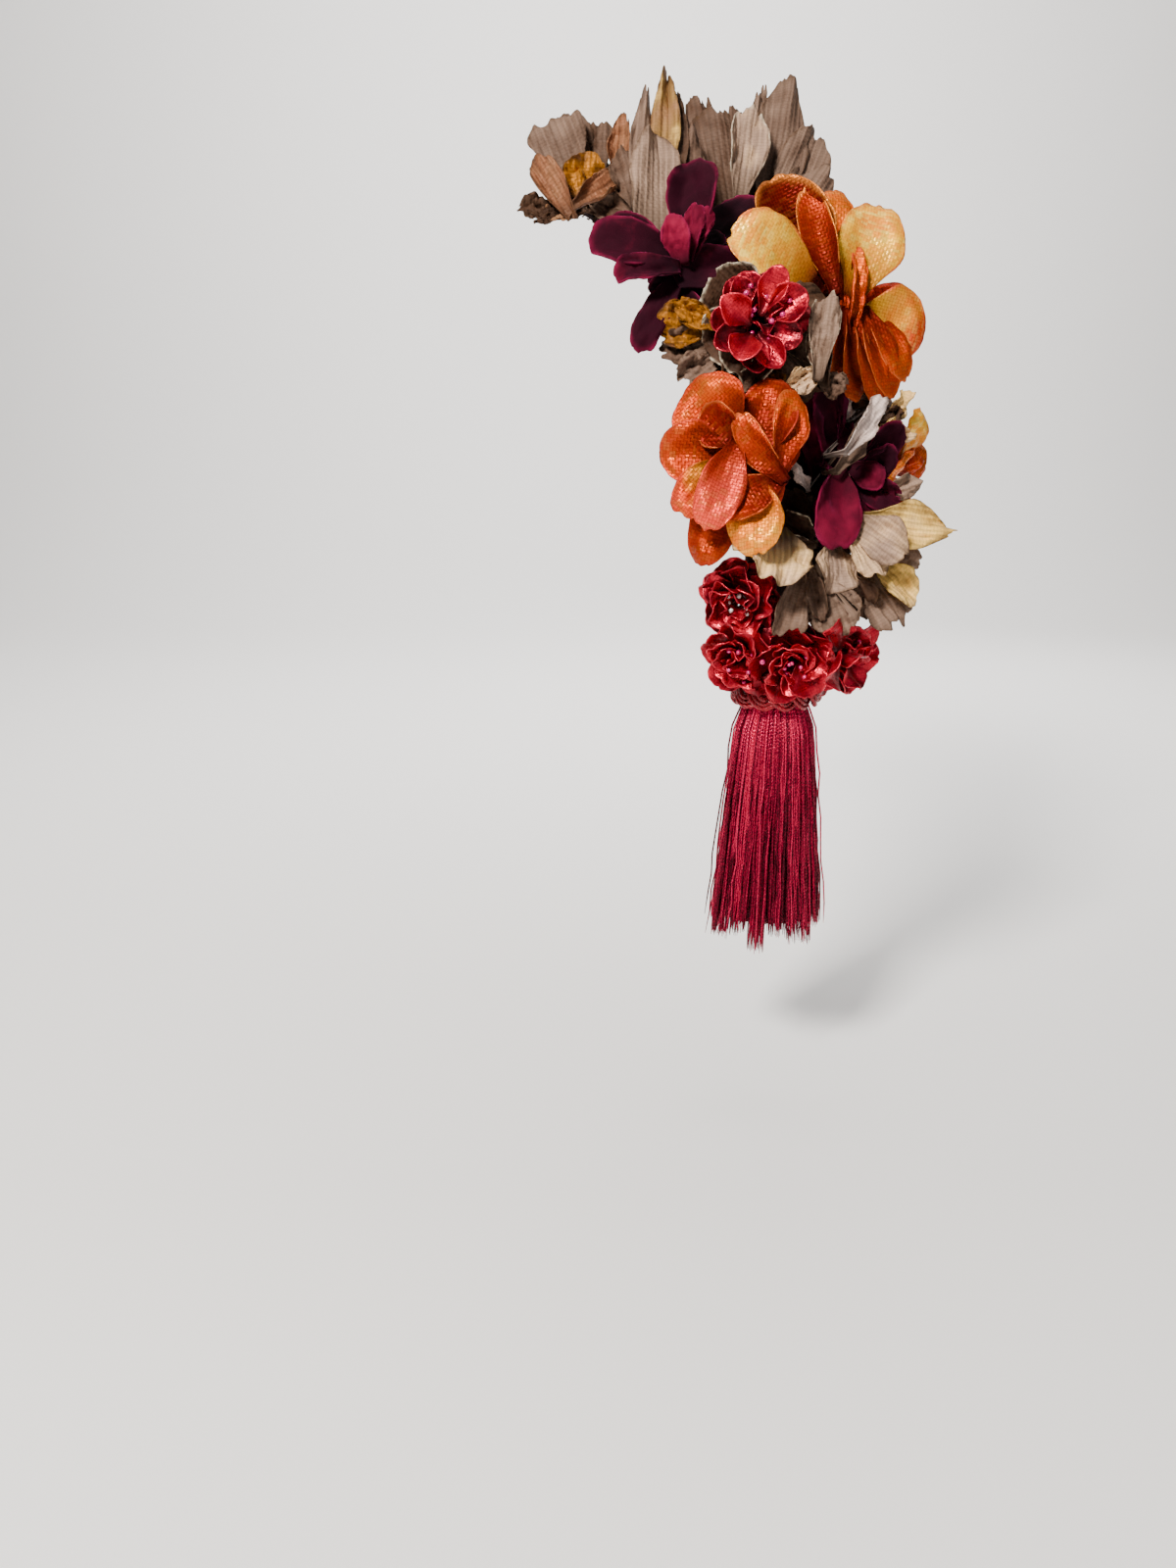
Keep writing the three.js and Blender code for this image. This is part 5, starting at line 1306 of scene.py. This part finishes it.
def makeFlower(name, others):
    cloth, hub, facing, foot = flowerPlaces[name]
    cut = petalCuts[cloth]
    placed = flowerFrame(hub, facing)
    clear = seat["felt"] + seat["clear"]
    bm = startMesh()
    for petal in petalRows(name, cut, random.Random(name)):
        root = placed @ petalSpot(petal, 0, 1.9 * petal["claw"] - 0.9)["point"]

        def place(a, b, petal=petal, root=root):
            spot = petalSpot(petal, a, b)
            spot["point"] = offSeat(placed @ spot["point"], clear)
            if "free" not in petal:
                spot["point"] = pressed(spot["point"], root, others)
            return spot

        bendGrid(bm, *cut["grid"], place)
    bm.normal_update()
    others.append(treeOf(bm))
    piece = addPiece(name + "_petals", bm, [cloth], name)
    addSolidify(piece, cut["wall"])
    calyx = bmesh.new()
    bmesh.ops.create_icosphere(calyx, subdivisions=3, radius=calyxShape["radius"] * mm)
    bmesh.ops.scale(calyx, vec=(1, 1, calyxShape["flat"]), verts=calyx.verts)
    for vert in calyx.verts:
        vert.co *= 1 + calyxShape["rough"] * noise.noise(vert.co * calyxShape["pace"])
    placedMetres = placed.copy()
    placedMetres.translation = placed @ Vector((0, 0, calyxShape["drop"])) * mm
    bmesh.ops.transform(calyx, matrix=placedMetres, verts=calyx.verts)
    addPiece(name + "_calyx", calyx, ["stem"], name)
    if foot:
        top = placed @ Vector((0, 0, calyxShape["stemTop"]))
        makeStem(name + "_stem", foot, top, name)


def treeOf(bm):
    bm.verts.index_update()
    points = [vert.co / mm for vert in bm.verts]
    return BVHTree.FromPolygons(points, [[vert.index for vert in face.verts] for face in bm.faces])


# Stamens: pearls on short bent threads in the middle of a flower
stamenRadius = 0.2
stamenBow = 1.2
stamens = {
    "red_flower_top": {"count": 11, "length": (7, 11), "lean": 48, "pearl": 0.95, "kind": "pearl"},
    "red_flower_low": {"count": 7, "length": (6, 9), "lean": 45, "pearl": 0.85, "kind": "pale"},
    "red_flower_bottom_right": {"count": 11, "length": (8, 12), "lean": 50, "pearl": 0.9, "kind": "pearl"},
    "red_flower_bottom_mid": {"count": 8, "length": (6, 10), "lean": 45, "pearl": 0.85, "kind": "pearl"},
    "red_flower_bottom_left": {"count": 8, "length": (6, 10), "lean": 45, "pearl": 0.85, "kind": "pearl"},
    "burgundy_flower_top": {"count": 3, "length": (3, 5), "lean": 30, "pearl": 0.6, "kind": "pale"},
}


def makeStamens(name, look):
    cloth, hub, facing = flowerPlaces[name][:3]
    dice = random.Random(name + "stamen")
    placed = flowerFrame(hub, facing)
    bm = startMesh()
    for i in range(look["count"]):
        turn = 2 * math.pi * (i + dice.random() * 0.6) / look["count"]
        lean = math.radians(look["lean"]) * math.sqrt(dice.uniform(0.05, 1))
        length = dice.uniform(*look["length"])
        way = Vector((math.sin(lean) * math.cos(turn), math.sin(lean) * math.sin(turn), math.cos(lean)))
        bow = Vector((dice.uniform(-stamenBow, stamenBow), dice.uniform(-stamenBow, stamenBow), 0))

        def path(share, way=way, length=length, bow=bow):
            return placed @ (way * (length * share) + bow * share * share)

        addTube(bm, path, stamenRadius, 4, 6, placed.col[2].to_3d().orthogonal(), 0.3)
        size = look["pearl"] * dice.uniform(0.8, 1.1)
        ball = bmesh.ops.create_icosphere(bm, subdivisions=2, radius=size * mm)
        bmesh.ops.translate(bm, vec=path(1) * mm, verts=ball["verts"])
        for vert in ball["verts"]:
            for face in vert.link_faces:
                face.material_index = 1
    closeSeams(bm)
    addPiece(name + "_stamens", bm, [cloth, look["kind"]], name)


# Floor and backdrop: one sweep of paper, pale to the camera where the lamps don't reach it
def makeStage():
    bm = bmesh.new()
    grid = bmesh.ops.create_grid(bm, x_segments=1, y_segments=studio["steps"], size=1)
    for vert in grid["verts"]:
        run = (vert.co.y + 1) / 2 * 3
        turn = math.pi / 2 * min(1, max(0, run - 1))
        level = mixed(-studio["depth"] * studio["ahead"], studio["depth"], min(1, run))
        depth = level + studio["sweep"] * math.sin(turn)
        rise = studio["floor"] + studio["sweep"] * (1 - math.cos(turn)) + studio["wall"] * max(0, run - 2)
        vert.co = Vector((vert.co.x * studio["halfWidth"], depth, rise)) * mm
    mesh = bpy.data.meshes.new("floor")
    bm.to_mesh(mesh)
    bm.free()
    finish = {"Roughness": 0.85, "Base Color": (*studio["tone"], 1), "Emission Strength": 1}
    material, tree, shader = startMaterial("floor_paper", finish)
    place = addNode(tree, "ShaderNodeSeparateXYZ", {0: addNode(tree, "ShaderNodeTexCoord").outputs["Object"]})
    aside = addRange(tree, addMath(tree, "ABSOLUTE", place.outputs[0]), *studio["farAside"])
    before = addRange(tree, place.outputs[1], *studio["farAhead"])
    seen = addNode(tree, "ShaderNodeLightPath").outputs["Is Camera Ray"]
    pale = addMath(tree, "MULTIPLY", addMath(tree, "MAXIMUM", aside, before), seen)
    glow = addMix(tree, pale, (0, 0, 0, 1), (*studio["far"], 1))
    tree.links.new(glow, shader.inputs["Emission Color"])
    mesh.materials.append(material)
    mesh.shade_smooth()
    floor = bpy.data.objects.new("floor", mesh)
    scene.collection.objects.link(floor)


makeCamera()
makeLamps()
makeStage()
print("camera, light and floor made")
makeFeltBase()
makeComb()
print("felt band and comb made")
makeTassel()
makeCollar()
print("tassel and collar made")
flowerTrees = []
for flowerName in flowerPlaces:
    makeFlower(flowerName, flowerTrees)
for flowerName, look in stamens.items():
    makeStamens(flowerName, look)
print("flowers made")
